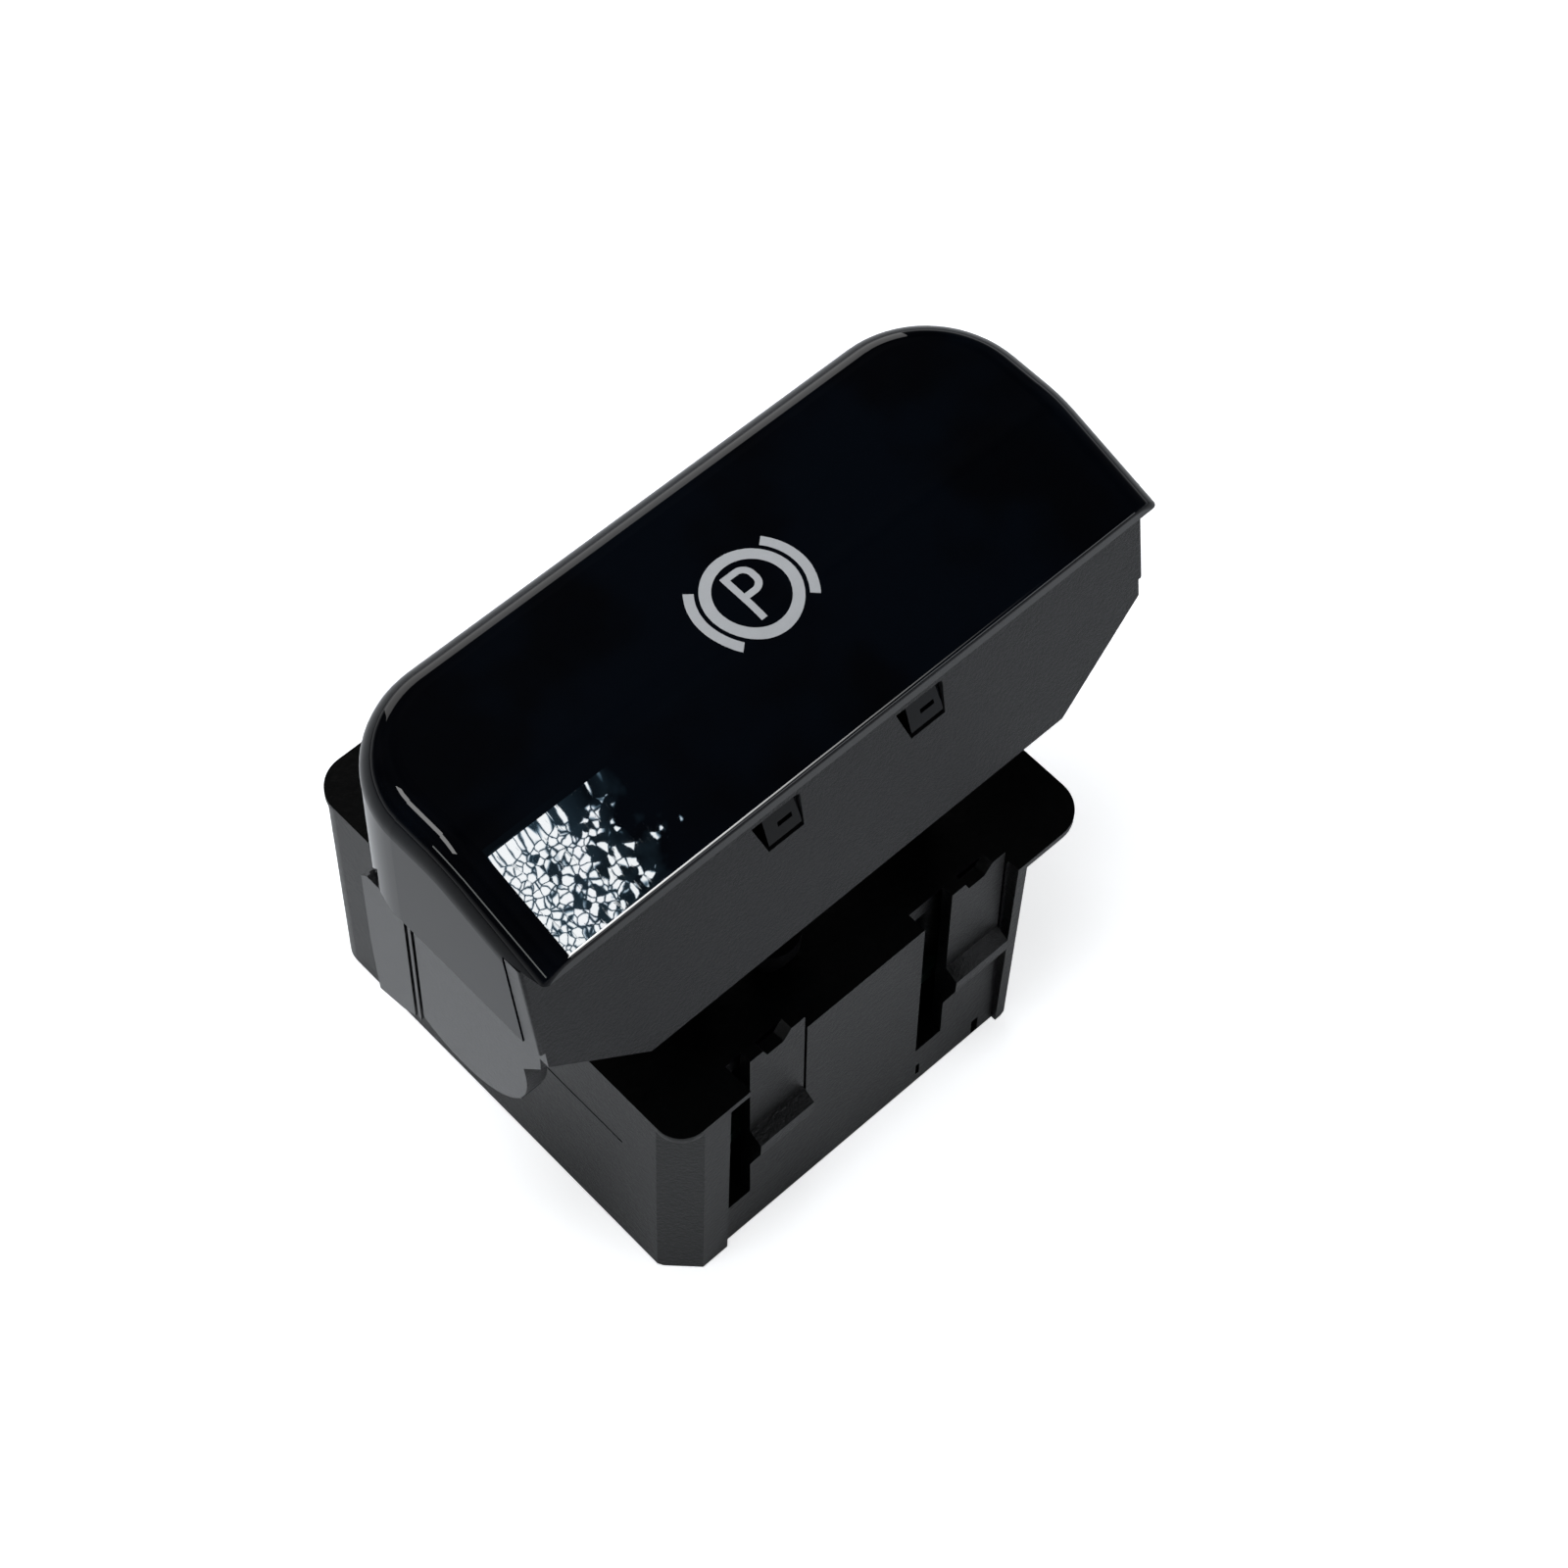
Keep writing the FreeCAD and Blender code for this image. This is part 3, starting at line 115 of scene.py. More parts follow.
class Tree:
    """The node tree of a material or world. Each of its nodes comes from the method node."""

    def __init__(self, owner):
        owner.use_nodes = True
        self.nodes = owner.node_tree.nodes
        self.links = owner.node_tree.links
        self.nodes.clear()

    def feed(self, place, value):
        """Links a wire to a socket, or sets the socket's own value."""
        if isinstance(value, Wire):
            self.links.new(value.socket, place)
        elif place.type == "RGBA":
            place.default_value = (*value, 1)
        else:
            place.default_value = value

    def node(self, kind, settings=None, *values, **named):
        """Makes a node: its settings, then its sockets in order, then others by name."""
        made = self.nodes.new(kind)
        for name, value in (settings or {}).items():
            setattr(made, name, value)
        for place, value in zip(made.inputs, values):
            self.feed(place, value)
        for name, value in named.items():
            self.feed(made.inputs[name], value)
        return made

    def wire(self, output, kind, settings=None, *values, **named):
        """One output, by number or name, of a new node."""
        return Wire(self, self.node(kind, settings, *values, **named).outputs[output])

    def split(self, vector):
        parts = self.node("ShaderNodeSeparateXYZ", {}, vector)
        return [Wire(self, output) for output in parts.outputs]

    def noise(self, vector, scale, detail=2.0, rough=0.5, output=0):
        return self.wire(output, "ShaderNodeTexNoise", {}, Vector=vector, Scale=scale,
                         Detail=detail, Roughness=rough)

    def mix(self, first, second, factor):
        """The colour between two colours at a factor from 0 to 1."""
        made = self.node("ShaderNodeMix", {"data_type": "RGBA"}, factor)
        inputs = {socket.identifier: socket for socket in made.inputs}
        outputs = {socket.identifier: socket for socket in made.outputs}
        self.feed(inputs["A_Color"], first)
        self.feed(inputs["B_Color"], second)
        return Wire(self, outputs["Result_Color"])


class Paint(Tree):
    """A material of one surface shader, with textures in object space."""

    def __init__(self, name):
        self.material = bpy.data.materials.new(name)
        super().__init__(self.material)
        self.surface = self.node("ShaderNodeBsdfPrincipled")
        self.node("ShaderNodeOutputMaterial", {}, Wire(self, self.surface.outputs[0]))
        self.coordinates = self.node("ShaderNodeTexCoord")

    def place(self, stretch=(1, 1, 1)):
        """Object coordinates in millimetres, stretched by a factor on each axis."""
        where = Wire(self, self.coordinates.outputs["Object"])
        return self.wire(0, "ShaderNodeMapping", {}, where, Scale=[factor / MM for factor in stretch])

    def grain(self, per_mm, detail=3.0, rough=0.5, stretch=(1, 1, 1)):
        return self.noise(self.place(stretch), per_mm, detail, rough)

    def bump(self, *layers):
        """Heights in millimetres, each with its strength, one bump on the other."""
        under = {}
        for height, strength in layers:
            relief = self.wire(0, "ShaderNodeBump", {}, Height=height, Strength=strength,
                               Distance=MM, **under)
            under = {"Normal": relief}
        self.set(**under)

    def set(self, **values):
        """Fills sockets of the surface shader, with _ for each space in a name."""
        for name, value in values.items():
            self.feed(self.surface.inputs[name.replace("_", " ")], value)


# Materials of the record's slots

COARSER = 0.3
FINE_SHARE = 0.6
COARSE_RELIEF = 0.6
WAVINESS_PER_MM = 0.12
WAVINESS = 0.02
GLOSS_SPREAD = 0.08
END_FACES = 0.8
END_FACES_SOFT = 0.08
COAT_ROUGHNESS = 0.3


def moulded(name, colour, rough, grain, per_mm, specular, mottle=0.25, polish=0.0):
    """A moulded plastic: eroded grain, slow waviness and a little unevenness in its gloss.

    The polish is a coat on the faces that look along X.
    """
    paint = Paint(name)
    if polish:
        along_x, _, _ = paint.split(Wire(paint, paint.coordinates.outputs["Normal"]))
        coated = along_x.absolute().above(END_FACES, END_FACES_SOFT)
        paint.set(Coat_Weight=coated * polish, Coat_Roughness=COAT_ROUGHNESS)
    fine = paint.grain(per_mm, detail=2.0)
    coarse = paint.grain(per_mm * COARSER)
    slow = paint.grain(WAVINESS_PER_MM, detail=2.0)
    darker = [channel * (1.0 - mottle) for channel in colour]
    lighter = [channel * (1.0 + mottle) for channel in colour]
    paint.set(Base_Color=paint.mix(darker, lighter, fine * FINE_SHARE + coarse * (1 - FINE_SHARE)),
              Specular_IOR_Level=specular, Roughness=(coarse - 0.5) * GLOSS_SPREAD + rough)
    paint.bump((slow, WAVINESS), (coarse, grain * COARSE_RELIEF), (fine, grain))
    return paint.material


def gloss_black(name):
    """Piano black: a mirror, with a trace of orange peel and a few hair marks."""
    paint = Paint(name)
    peel = paint.grain(per_mm=0.35, detail=2.0)
    haze = paint.grain(per_mm=0.9, detail=4.0, rough=0.6)
    cloud = paint.grain(per_mm=0.09, detail=2.0).above(edge=0.5, soft=0.12)
    marks = paint.grain(per_mm=5.0, detail=2.0, stretch=(1.0, 0.06, 0.4)).above(edge=0.70, soft=0.03)
    black, blue_black = (0.0006, 0.0007, 0.0013), (0.0012, 0.0024, 0.0048)
    paint.set(Base_Color=paint.mix(black, blue_black, cloud * 0.7 + haze * 0.3),
              Specular_IOR_Level=0.20, Roughness=marks * 0.02 + haze * 0.006 + 0.004)
    paint.bump((peel, 0.0012), (marks, 0.0006))
    return paint.material


def printed(name):
    """The pale symbol, printed under the gloss."""
    paint = Paint(name)
    fine = paint.grain(per_mm=9.0)
    slow = paint.grain(per_mm=1.1, detail=2.0)
    thin_ink, full_ink = (0.46, 0.48, 0.50), (0.56, 0.58, 0.61)
    paint.set(Base_Color=paint.mix(thin_ink, full_ink, fine * 0.5 + slow * 0.5),
              Specular_IOR_Level=0.3, Roughness=fine * 0.1 + 0.25)
    paint.bump((fine, 0.01))
    return paint.material


def metal(name, colour, rough, stretch):
    """A drawn or plated metal, with marks drawn out where stretch is small."""
    paint = Paint(name)
    lines = paint.grain(per_mm=6.0, rough=0.6, stretch=stretch)
    spots = paint.grain(per_mm=1.5)
    duller = [channel * 0.75 for channel in colour]
    paint.set(Base_Color=paint.mix(duller, colour, lines * 0.6 + spots * 0.4), Metallic=1.0,
              Roughness=lines * 0.15 + rough)
    paint.bump((lines, 0.02))
    return paint.material


def clear_plastic(name):
    """Polished clear plastic with faint flow lines."""
    paint = Paint(name)
    flow = paint.grain(per_mm=0.8, detail=2.0, stretch=(1.0, 1.0, 0.2))
    duller, clearer = (0.82, 0.86, 0.88), (0.9, 0.93, 0.94)
    paint.set(Base_Color=paint.mix(duller, clearer, flow),
              Transmission_Weight=0.85, Roughness=flow * 0.06 + 0.05)
    paint.bump((flow, 0.02))
    return paint.material


def circuit_green(name):
    """Solder mask with the faint relief of tracks below it."""
    paint = Paint(name)
    across, along, _ = paint.split(paint.place())
    wander = paint.grain(per_mm=0.25, detail=1.0) * 3.0
    tracks = (across * 0.9 + wander).wave().above(edge=0.35, soft=0.12)
    drift = paint.grain(per_mm=0.2, detail=1.0) * 2.0
    rows = (along * 0.7 + drift).wave().above(edge=0.75, soft=0.08)
    relief = tracks.most(rows)
    bare, over_track = (0.0015, 0.010, 0.006), (0.003, 0.020, 0.011)
    paint.set(Base_Color=paint.mix(bare, over_track, relief),
              Roughness=paint.grain(per_mm=3.0) * 0.1 + 0.28, Specular_IOR_Level=0.5)
    paint.bump((relief, 0.03), (paint.grain(per_mm=8.0), 0.01))
    return paint.material


MATERIALS = {
    "housing_black": moulded("housing_black", (0.0010, 0.0011, 0.0012), rough=0.34, grain=0.12,
                             per_mm=8.0, specular=0.24),
    "cap_black": gloss_black("cap_black"),
    "frame_black": moulded("frame_black", (0.0042, 0.0044, 0.0058), rough=0.42, grain=0.20,
                           per_mm=9.0, specular=0.35, polish=0.65),
    "board_green": circuit_green("board_green"),
    "tin": metal("tin", (0.72, 0.70, 0.66), rough=0.25, stretch=(1, 1, 0.1)),
    "chip_black": moulded("chip_black", (0.015, 0.015, 0.016), rough=0.5, grain=0.08,
                          per_mm=8.0, specular=0.3),
    "led_white": moulded("led_white", (0.78, 0.74, 0.58), rough=0.3, grain=0.03,
                         per_mm=6.0, specular=0.5, mottle=0.06),
    "switch_grey": moulded("switch_grey", (0.055, 0.056, 0.06), rough=0.45, grain=0.08,
                           per_mm=6.0, specular=0.4),
    "clear_guide": clear_plastic("clear_guide"),
    "lens_white": moulded("lens_white", (0.72, 0.74, 0.76), rough=0.2, grain=0.02,
                          per_mm=4.0, specular=0.5, mottle=0.05),
    "pin_steel": metal("pin_steel", (0.56, 0.56, 0.57), rough=0.2, stretch=(0.1, 1, 1)),
    "screw_steel": metal("screw_steel", (0.52, 0.53, 0.55), rough=0.28, stretch=(1, 1, 0.3)),
    "spring_steel": metal("spring_steel", (0.47, 0.47, 0.48), rough=0.25, stretch=(1, 1, 1)),
    "bush_cream": moulded("bush_cream", (0.66, 0.62, 0.52), rough=0.4, grain=0.04,
                          per_mm=5.0, specular=0.4, mottle=0.06),
    "plunger_black": moulded("plunger_black", (0.003, 0.003, 0.0035), rough=0.4, grain=0.04,
                             per_mm=6.0, specular=0.1),
}

for part in frame["record"]["subparts"]:
    own = nodes[part["node"]].data.materials
    own.clear()
    own.append(MATERIALS[part["material_slot"]])


# Edges of the mouldings, rounded as by a worn tool

WELD_REACH = 0.002 * MM
FLAT_WITHIN = math.radians(0.6)
ROUNDED_ABOVE = math.radians(35)
EDGE_WIDTH = 0.12 * MM
EDGE_SEGMENTS = 2


def round_edges(node):
    steps = nodes[node].modifiers
    weld = steps.new("weld", "WELD")
    weld.merge_threshold = WELD_REACH
    plain = steps.new("plain_faces", "DECIMATE")
    plain.decimate_type = "DISSOLVE"
    plain.angle_limit = FLAT_WITHIN
    rounding = steps.new("rounding", "BEVEL")
    rounding.width = EDGE_WIDTH
    rounding.segments = EDGE_SEGMENTS
    rounding.limit_method = "ANGLE"
    rounding.angle_limit = ROUNDED_ABOVE
    rounding.use_clamp_overlap = True


for moulding in ("housing", "lever_frame", "lever_yoke"):
    round_edges(moulding)


def add_object(name, shape, material, smooth=False):
    """Turns a finished bmesh into an object of one material."""
    mesh = bpy.data.meshes.new(name)
    shape.to_mesh(mesh)
    shape.free()
    mesh.materials.append(material)
    for face in mesh.polygons:
        face.use_smooth = smooth
    made = bpy.data.objects.new(name, mesh)
    bpy.context.collection.objects.link(made)
    return made


# Symbol on the cap, in millimetres: a ring and a P between two brackets

SYMBOL_X = 0.4
SYMBOL_Y = -5.25
RING_OUTER = 4.13
RING_INNER = 3.15
RING_STEPS = 96
BRACKET_OUTER = 5.35
BRACKET_INNER = 4.5
BRACKET_ANGLE = 40
BRACKET_STEPS = 32
STEM_LEFT = -1.12
STEM_WIDTH = 0.6
LETTER_TOP = 2.52
LETTER_BOTTOM = -2.33
BOWL_BOTTOM = -0.30
BOWL_RIGHT = 1.52
BOWL_RADIUS = 1.2
BOWL_STEPS = 14
LONG_EDGE = 0.7
LONG_EDGE_CUTS = 6
SAME_POINT = 0.001
PRINT_LIFT = 0.012


def sweep_arc(shape, edges, middle, degrees, steps):
    """Spins the end edges about a point of the symbol's plane and returns the new end."""
    spun = bmesh.ops.spin(shape, geom=edges, cent=(*middle, 0), axis=(0, 0, 1), dvec=(0, 0, 0),
                          angle=math.radians(degrees), steps=steps, use_merge=abs(degrees) == 360)
    return spun["geom_last"]


def stroke_start(shape, first, second):
    ends = [shape.verts.new((*place, 0)) for place in (first, second)]
    return [shape.edges.new(ends), *ends]


def pull(shape, end, across, along):
    """Extrudes the end edge of a stroke by a distance and returns the new end."""
    edges = [item for item in end if isinstance(item, bmesh.types.BMEdge)]
    drawn = bmesh.ops.extrude_edge_only(shape, edges=edges)["geom"]
    corners = [item for item in drawn if isinstance(item, bmesh.types.BMVert)]
    bmesh.ops.translate(shape, verts=corners, vec=(across, along, 0))
    return [item for item in drawn if not isinstance(item, bmesh.types.BMFace)]


def draw_bracket(shape, start_degrees):
    across, along = math.cos(math.radians(start_degrees)), math.sin(math.radians(start_degrees))
    start = stroke_start(shape, (BRACKET_INNER * across, BRACKET_INNER * along),
                         (BRACKET_OUTER * across, BRACKET_OUTER * along))
    sweep_arc(shape, start, (0, 0), 2 * BRACKET_ANGLE, BRACKET_STEPS)


def draw_letter(shape):
    stem_right = STEM_LEFT + STEM_WIDTH
    stem = stroke_start(shape, (STEM_LEFT, LETTER_BOTTOM), (stem_right, LETTER_BOTTOM))
    pull(shape, stem, 0, LETTER_TOP - LETTER_BOTTOM)
    turn_x = BOWL_RIGHT - BOWL_RADIUS
    straight = turn_x - stem_right
    flat = LETTER_TOP - BOWL_BOTTOM - 2 * BOWL_RADIUS
    end = stroke_start(shape, (stem_right, LETTER_TOP), (stem_right, LETTER_TOP - STEM_WIDTH))
    end = pull(shape, end, straight, 0)
    end = sweep_arc(shape, end, (turn_x, LETTER_TOP - BOWL_RADIUS), -90, BOWL_STEPS)
    end = pull(shape, end, 0, -flat)
    end = sweep_arc(shape, end, (turn_x, BOWL_BOTTOM + BOWL_RADIUS), -90, BOWL_STEPS)
    pull(shape, end, -straight, 0)


def lay_on_cap(shape):
    """Drops each point of a flat shape onto the cap and lifts it by the print's thickness."""
    cap = nodes["lever_cap"]
    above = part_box("lever_cap")[1][2] + MM
    to_cap = cap.matrix_world.inverted()
    down = to_cap.to_3x3() @ Vector((0, 0, -1))
    for corner in shape.verts:
        _, surface, _, _ = cap.ray_cast(to_cap @ Vector((corner.co.x, corner.co.y, above)), down)
        corner.co.z = (cap.matrix_world @ surface).z + PRINT_LIFT * MM


def make_symbol():
    shape = bmesh.new()
    ring = stroke_start(shape, (RING_INNER, 0), (RING_OUTER, 0))
    sweep_arc(shape, ring, (0, 0), 360, RING_STEPS)
    draw_bracket(shape, 180 - BRACKET_ANGLE)
    draw_bracket(shape, -BRACKET_ANGLE)
    draw_letter(shape)
    bmesh.ops.remove_doubles(shape, verts=shape.verts, dist=SAME_POINT)
    long_edges = [edge for edge in shape.edges if edge.calc_length() > LONG_EDGE]
    bmesh.ops.subdivide_edges(shape, edges=long_edges, cuts=LONG_EDGE_CUTS, use_grid_fill=True)
    bmesh.ops.triangulate(shape, faces=shape.faces)
    bmesh.ops.translate(shape, verts=shape.verts, vec=(SYMBOL_X, SYMBOL_Y, 0))
    bmesh.ops.scale(shape, verts=shape.verts, vec=(MM, MM, MM))
    lay_on_cap(shape)
    bmesh.ops.recalc_face_normals(shape, faces=shape.faces)
    if sum(face.normal.z for face in shape.faces) < 0:
        bmesh.ops.reverse_faces(shape, faces=shape.faces)
    symbol = add_object("brake_symbol", shape, printed("symbol_print"), smooth=True)
    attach(symbol, "lever")


make_symbol()


# Return springs of the two plungers, of round wire

WIRE_RADIUS = 0.25 * MM
WIRE_SIDES = 10
COIL_TURNS = 3.5
STEPS_IN_TURN = 24


def make_coil(node, body):
    low, high = (Vector(corner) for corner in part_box(node))
    middle = (low + high) / 2
    reach = (high.x - low.x) / 2 - WIRE_RADIUS
    rise = high.z - low.z - 2 * WIRE_RADIUS
    steps = round(COIL_TURNS * STEPS_IN_TURN)
    shape = bmesh.new()
    ring = bmesh.ops.create_circle(shape, cap_ends=False, radius=WIRE_RADIUS, segments=WIRE_SIDES)["verts"]
    bmesh.ops.rotate(shape, verts=ring, cent=(0, 0, 0), matrix=Matrix.Rotation(math.pi / 2, 3, "X"))
    bmesh.ops.translate(shape, verts=ring, vec=(middle.x + reach, middle.y, low.z + WIRE_RADIUS))
    bmesh.ops.spin(shape, geom=shape.verts[:] + shape.edges[:], cent=middle, axis=(0, 0, 1),
                   dvec=(0, 0, rise / steps), angle=2 * math.pi * COIL_TURNS, steps=steps)
    ends = [edge for edge in shape.edges if edge.is_boundary]
    bmesh.ops.holes_fill(shape, edges=ends, sides=WIRE_SIDES)
    bmesh.ops.recalc_face_normals(shape, faces=shape.faces)
    coil = add_object(node + "_coil", shape, MATERIALS["spring_steel"], smooth=True)
    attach(coil, body)
    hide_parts(node)
    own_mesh(coil)


make_coil("release_spring", "release_button")
make_coil("apply_spring", "apply_button")


# Floor: white to the camera, much darker in reflections

FLOOR_HALF = 3.0
FLOOR_DROP = 0.0001
FLOOR_COLOUR = (0.83, 0.86, 0.90)
FLOOR_GLOW = 0.70
FLOOR_MIRRORED = 0.05
FULL_GLOW_AT = 0.45
FULL_GLOW_SOFT = 0.30


def floor_white():
    """Diffuse white with a glow of its own, and nothing when seen from below."""
    material = bpy.data.materials.new("floor_white")
    tree = Tree(material)
    where = tree.wire("Object", "ShaderNodeTexCoord")
    from_middle = tree.wire("Value", "ShaderNodeVectorMath", {"operation": "LENGTH"}, where)
    far = from_middle.above(FULL_GLOW_AT, FULL_GLOW_SOFT)
    path = tree.node("ShaderNodeLightPath")
    camera_ray, glossy_ray, clear_ray = (Wire(tree, path.outputs[name]) for name in
                                         ("Is Camera Ray", "Is Glossy Ray", "Is Transmission Ray"))
    seen = camera_ray * (far * (1.0 - FLOOR_GLOW) + FLOOR_GLOW)
    mirrored = glossy_ray.most(clear_ray) * FLOOR_MIRRORED
    diffuse = tree.wire(0, "ShaderNodeBsdfDiffuse", {}, FLOOR_COLOUR)
    glow = tree.wire(0, "ShaderNodeEmission", {}, Strength=seen + mirrored)
    both = tree.wire(0, "ShaderNodeAddShader", {}, diffuse, glow)
    below = tree.wire("Backfacing", "ShaderNodeNewGeometry")
    clear = tree.wire(0, "ShaderNodeBsdfTransparent")
    surface = tree.wire(0, "ShaderNodeMixShader", {}, below, both, clear)
    tree.node("ShaderNodeOutputMaterial", {}, surface)
    return material


def make_floor():
    shape = bmesh.new()
    bmesh.ops.create_grid(shape, x_segments=1, y_segments=1, size=FLOOR_HALF)
    floor = add_object("floor", shape, floor_white())
    floor.location.z = -FLOOR_DROP


make_floor()


# Lamps that only the gloss cap mirrors

gloss_pieces = bpy.data.collections.new("gloss_pieces")
gloss_pieces.objects.link(nodes["lever_cap"])


def light_cap_only(lamp):
    lamp.light_linking.receiver_collection = gloss_pieces


def hang_lamp(name, place, width, depth, pattern):
    """A flat lamp that lets light through. The pattern gives its colour and strength from
    the millimetres across and along it."""
    material = bpy.data.materials.new(name)
    tree = Tree(material)
    x, y, _ = tree.split(tree.wire("Object", "ShaderNodeTexCoord"))
    colour, strength = pattern(tree, (x + width / 2) / MM, (y + depth / 2) / MM)
    glow = tree.wire(0, "ShaderNodeEmission", {}, colour, strength)
    clear = tree.wire(0, "ShaderNodeBsdfTransparent")
    tree.node("ShaderNodeOutputMaterial", {}, tree.wire(0, "ShaderNodeAddShader", {}, glow, clear))
    shape = bmesh.new()
    bmesh.ops.create_grid(shape, x_segments=1, y_segments=1, size=0.5)
    bmesh.ops.scale(shape, verts=shape.verts, vec=(width, depth, 1))
    lamp = add_object(name, shape, material)
    lamp.location = place
    lamp.visible_camera = False
    lamp.visible_diffuse = False
    lamp.visible_shadow = False
    light_cap_only(lamp)


# Crumpled lamp, of bright cells; its values are in millimetres where they are lengths

LAMP_POWER = 55.0
CELLS_PER_MM = 0.55
CELL_OUTLINE = 0.075
CELL_OUTLINE_SOFT = 0.05
CREST_VIEW = 29.0
CREST_SQUEEZE = 0.12
BENDS_PER_MM = 0.35
BEND_REACH = (1.6, 1.6, 0)
BLOTCHES_PER_MM = 0.16
BLOTCH_SPREAD = 1.5
FULLY_LIT = 1.1
FADE_START = 10.0
FADE_LENGTH = 25.0
FAR_START = 42.0
FAR_LENGTH = 22.0
RAGGED_EDGE = 5.0
RAGGEDNESS = 1.3
SWITCH_SOFT = 0.05
HAZE = 0.05
HALO = 0.004
HALO_LENGTH = 30.0
HAZE_COLOUR = (0.30, 0.60, 0.85)
CELL_COLOUR = (0.95, 0.98, 1.0)


def crumpled(tree, across, along):
    """Cells of crumpled film, fewer of them lit away from the near left corner."""
    near = along.least(CREST_VIEW) + (along - CREST_VIEW).most(0.0) * CREST_SQUEEZE
    spot = tree.wire(0, "ShaderNodeCombineXYZ", {}, across, near)
    bend = tree.noise(spot, BENDS_PER_MM, output="Color")
    bent = tree.wire(0, "ShaderNodeVectorMath", {"operation": "MULTIPLY_ADD"}, bend, BEND_REACH, spot)
    border = tree.wire("Distance", "ShaderNodeTexVoronoi", {"feature": "DISTANCE_TO_EDGE"},
                       Vector=bent, Scale=CELLS_PER_MM)
    cell = tree.wire("Color", "ShaderNodeTexVoronoi", {"feature": "F1"},
                     Vector=bent, Scale=CELLS_PER_MM)
    chance = tree.wire(0, "ShaderNodeSeparateColor", {}, cell)
    patchy = (tree.noise(spot, BLOTCHES_PER_MM) - 0.5) * BLOTCH_SPREAD
    fading = (across - FADE_START).most(0.0) / FADE_LENGTH
    far = (along - FAR_START).most(0.0) / FAR_LENGTH
    ragged = (1.0 - across / RAGGED_EDGE).most(0.0) * RAGGEDNESS
    bright = FULLY_LIT - fading - far - ragged + patchy
    lit = (bright - chance).above(0.0, SWITCH_SOFT) * border.above(CELL_OUTLINE, CELL_OUTLINE_SOFT)
    haze = bright.clamp() * HAZE + (1.0 - across / HALO_LENGTH).most(0.0) * HALO
    return tree.mix(HAZE_COLOUR, CELL_COLOUR, lit), (lit + haze) * LAMP_POWER


LIP_LAMP_WIDTH = 0.160
LIP_LAMP_POWER = 110.0


def fading_out(tree, across, along):
    """White, brightest at the left."""
    left = 1.0 - across / (LIP_LAMP_WIDTH / MM)
    return (1, 1, 1), left * left * LIP_LAMP_POWER


hang_lamp("crumpled_lamp", (0.132, -0.073, 0.50), width=0.054, depth=0.086, pattern=crumpled)
hang_lamp("lip_lamp", (0.190, -0.400, 0.50), width=LIP_LAMP_WIDTH, depth=0.44, pattern=fading_out)


# Soft lights of the studio

def make_light(name, place, width, depth, power, colour=(1, 1, 1), aim_height=0.03):
    """A rectangular light that looks at a point above the origin."""
    data = bpy.data.lights.new(name, "AREA")
    data.shape = "RECTANGLE"
    data.size = width
    data.size_y = depth
    data.energy = power
    data.color = colour
    light = bpy.data.objects.new(name, data)
    light.location = place
    direction = Vector((0, 0, aim_height)) - Vector(place)
    light.rotation_euler = direction.to_track_quat("-Z", "Y").to_euler()
    bpy.context.collection.objects.link(light)
    return light


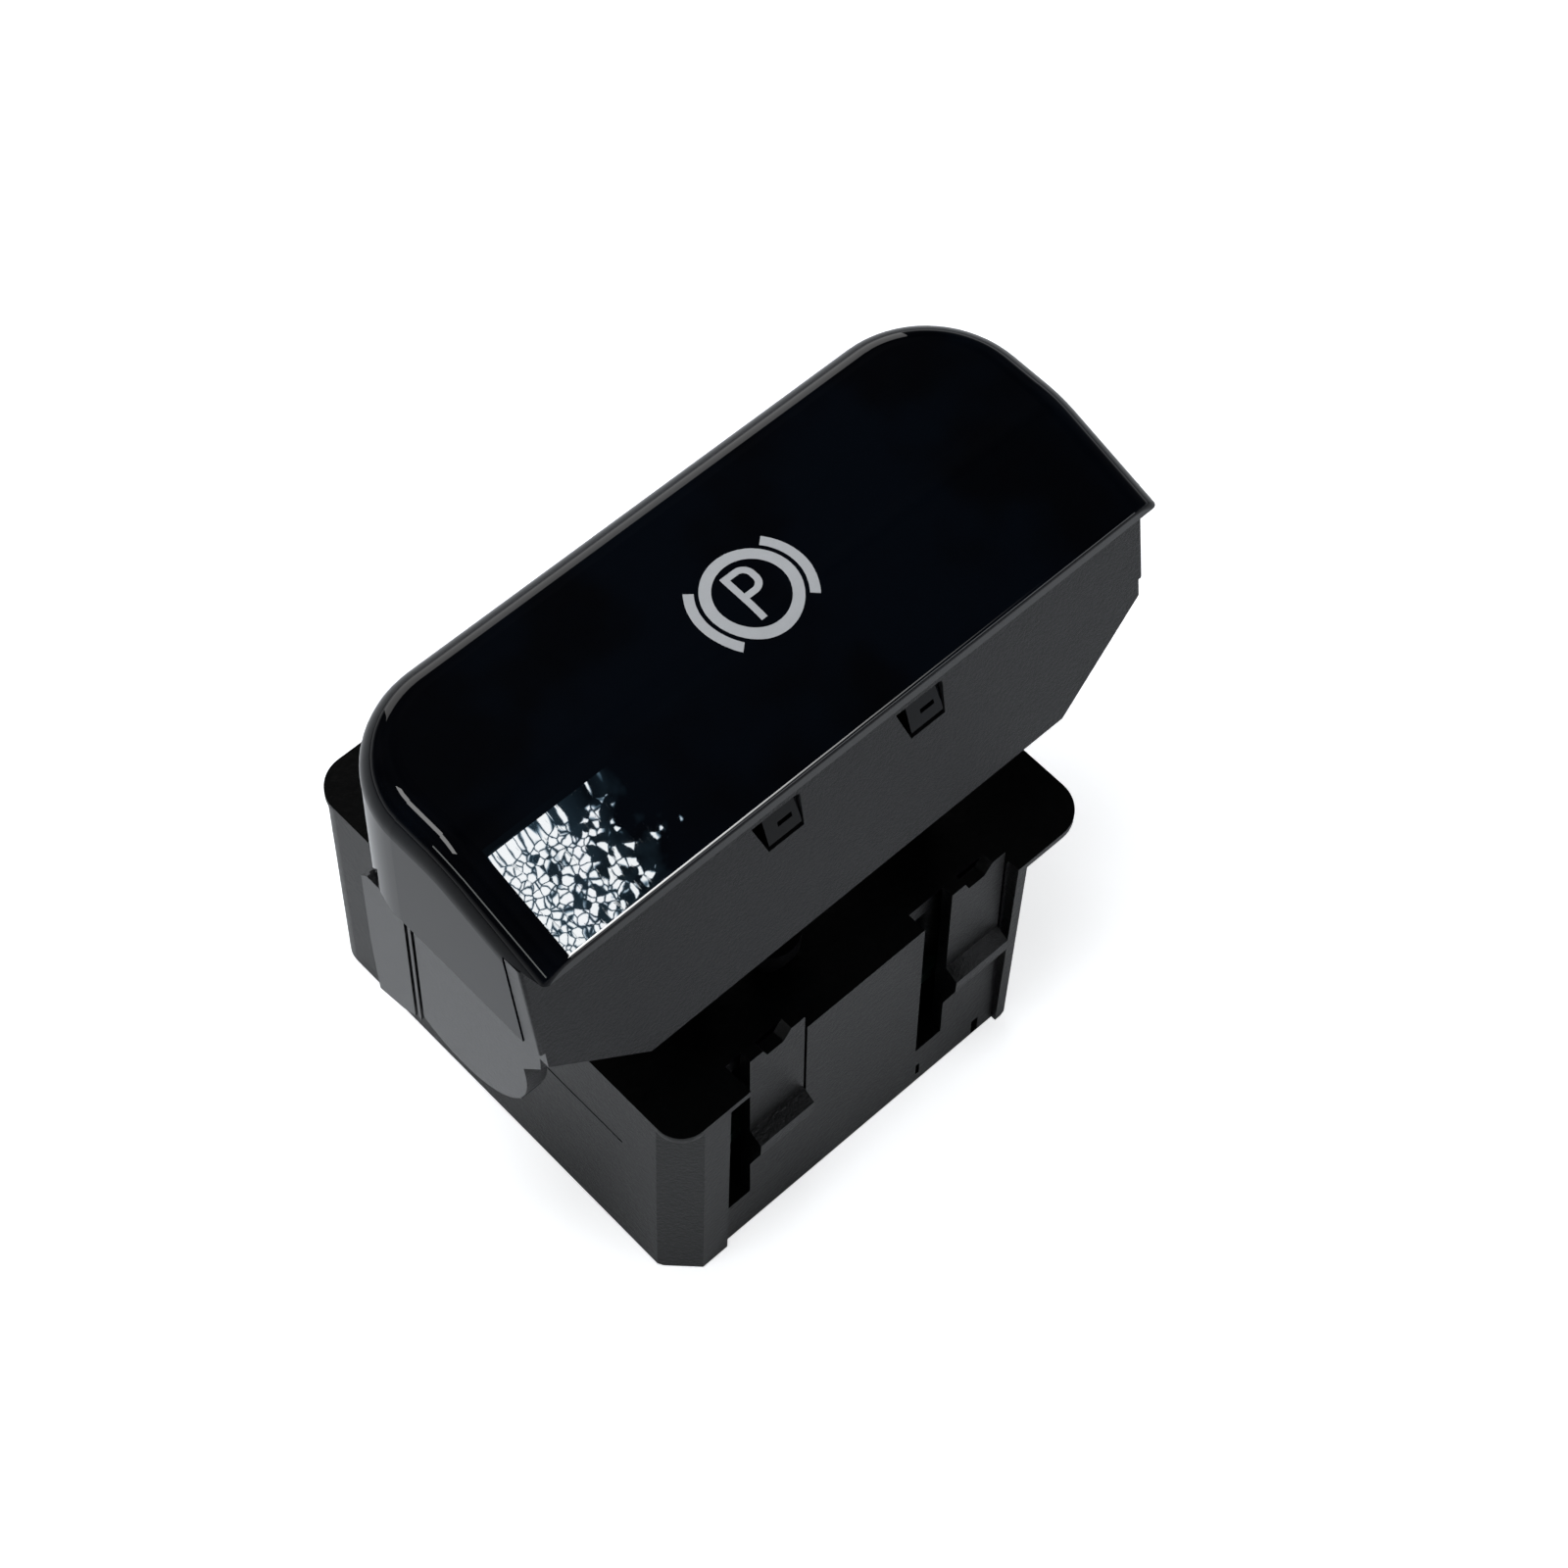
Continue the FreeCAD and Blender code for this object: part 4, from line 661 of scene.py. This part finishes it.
overhead = make_light("overhead", (-0.15, 0.10, 0.9), width=0.45, depth=0.45, power=5.0)
overhead.visible_glossy = False
make_light("left_window", (-0.92, 0.12, 0.45), width=0.60, depth=0.06, power=0.8,
           colour=(0.95, 1.0, 0.98))
make_light("front_window", (0.35, -0.80, 0.30), width=0.30, depth=0.20, power=1.0,
           colour=(0.92, 0.95, 1.0))
high_strip = make_light("high_strip", (-0.50, 0.36, 0.86), width=0.50, depth=0.14, power=2.6,
                        aim_height=0.06)
high_strip.visible_diffuse = False
light_cap_only(high_strip)
make_light("back_window", (0.35, 0.95, 0.35), width=0.80, depth=0.45, power=2.5)


# World: dim clouds above a pale horizon, white to the camera

CLOUD_SCALE = 2.2
CLOUD_LIGHT = 0.07
CLOUD_EDGE = 0.5
CLOUD_SOFT = 0.25
SKY_LIGHT = 0.008
HORIZON_GLOW = 1.5
HORIZON_HEIGHT = 0.06
HORIZON_SOFT = 0.12
BACKDROP = 1.06
WORLD_COLOUR = (0.95, 0.97, 1.0)


def make_world():
    world = bpy.data.worlds.new("studio")
    tree = Tree(world)
    where = tree.wire("Generated", "ShaderNodeTexCoord")
    height = tree.split(where)[2]
    dim = tree.noise(where, CLOUD_SCALE).above(CLOUD_EDGE, CLOUD_SOFT) * CLOUD_LIGHT + SKY_LIGHT
    horizon = (height * -1.0).above(-HORIZON_HEIGHT, HORIZON_SOFT) * HORIZON_GLOW
    seen = tree.wire("Is Camera Ray", "ShaderNodeLightPath")
    strength = (dim + horizon) * (1.0 - seen) + seen * BACKDROP
    back = tree.wire(0, "ShaderNodeBackground", {}, WORLD_COLOUR, strength)
    tree.node("ShaderNodeOutputWorld", {}, back)
    bpy.context.scene.world = world


make_world()


# Camera, as solved from the photograph's perspective

FOCAL_LENGTH = 83.25
SENSOR_WIDTH = 36
CLIP_START = 0.01
CAMERA_PLACE = Vector((-110.65, -118.63, 293.7)) * MM
IMAGE_RIGHT = Vector((0.7286, -0.6844, 0.0251))
TO_CAMERA = Vector((-0.3737, -0.3666, 0.8520))


def make_camera():
    data = bpy.data.cameras.new("camera")
    data.lens = FOCAL_LENGTH
    data.sensor_width = SENSOR_WIDTH
    data.clip_start = CLIP_START
    camera = bpy.data.objects.new("camera", data)
    right = IMAGE_RIGHT.normalized()
    back = (TO_CAMERA - right * TO_CAMERA.dot(right)).normalized()
    turn = Matrix((right, back.cross(right), back)).transposed().to_4x4()
    camera.matrix_world = Matrix.Translation(CAMERA_PLACE) @ turn
    bpy.context.collection.objects.link(camera)
    bpy.context.scene.camera = camera


make_camera()
bpy.context.scene.view_settings.view_transform = "Standard"
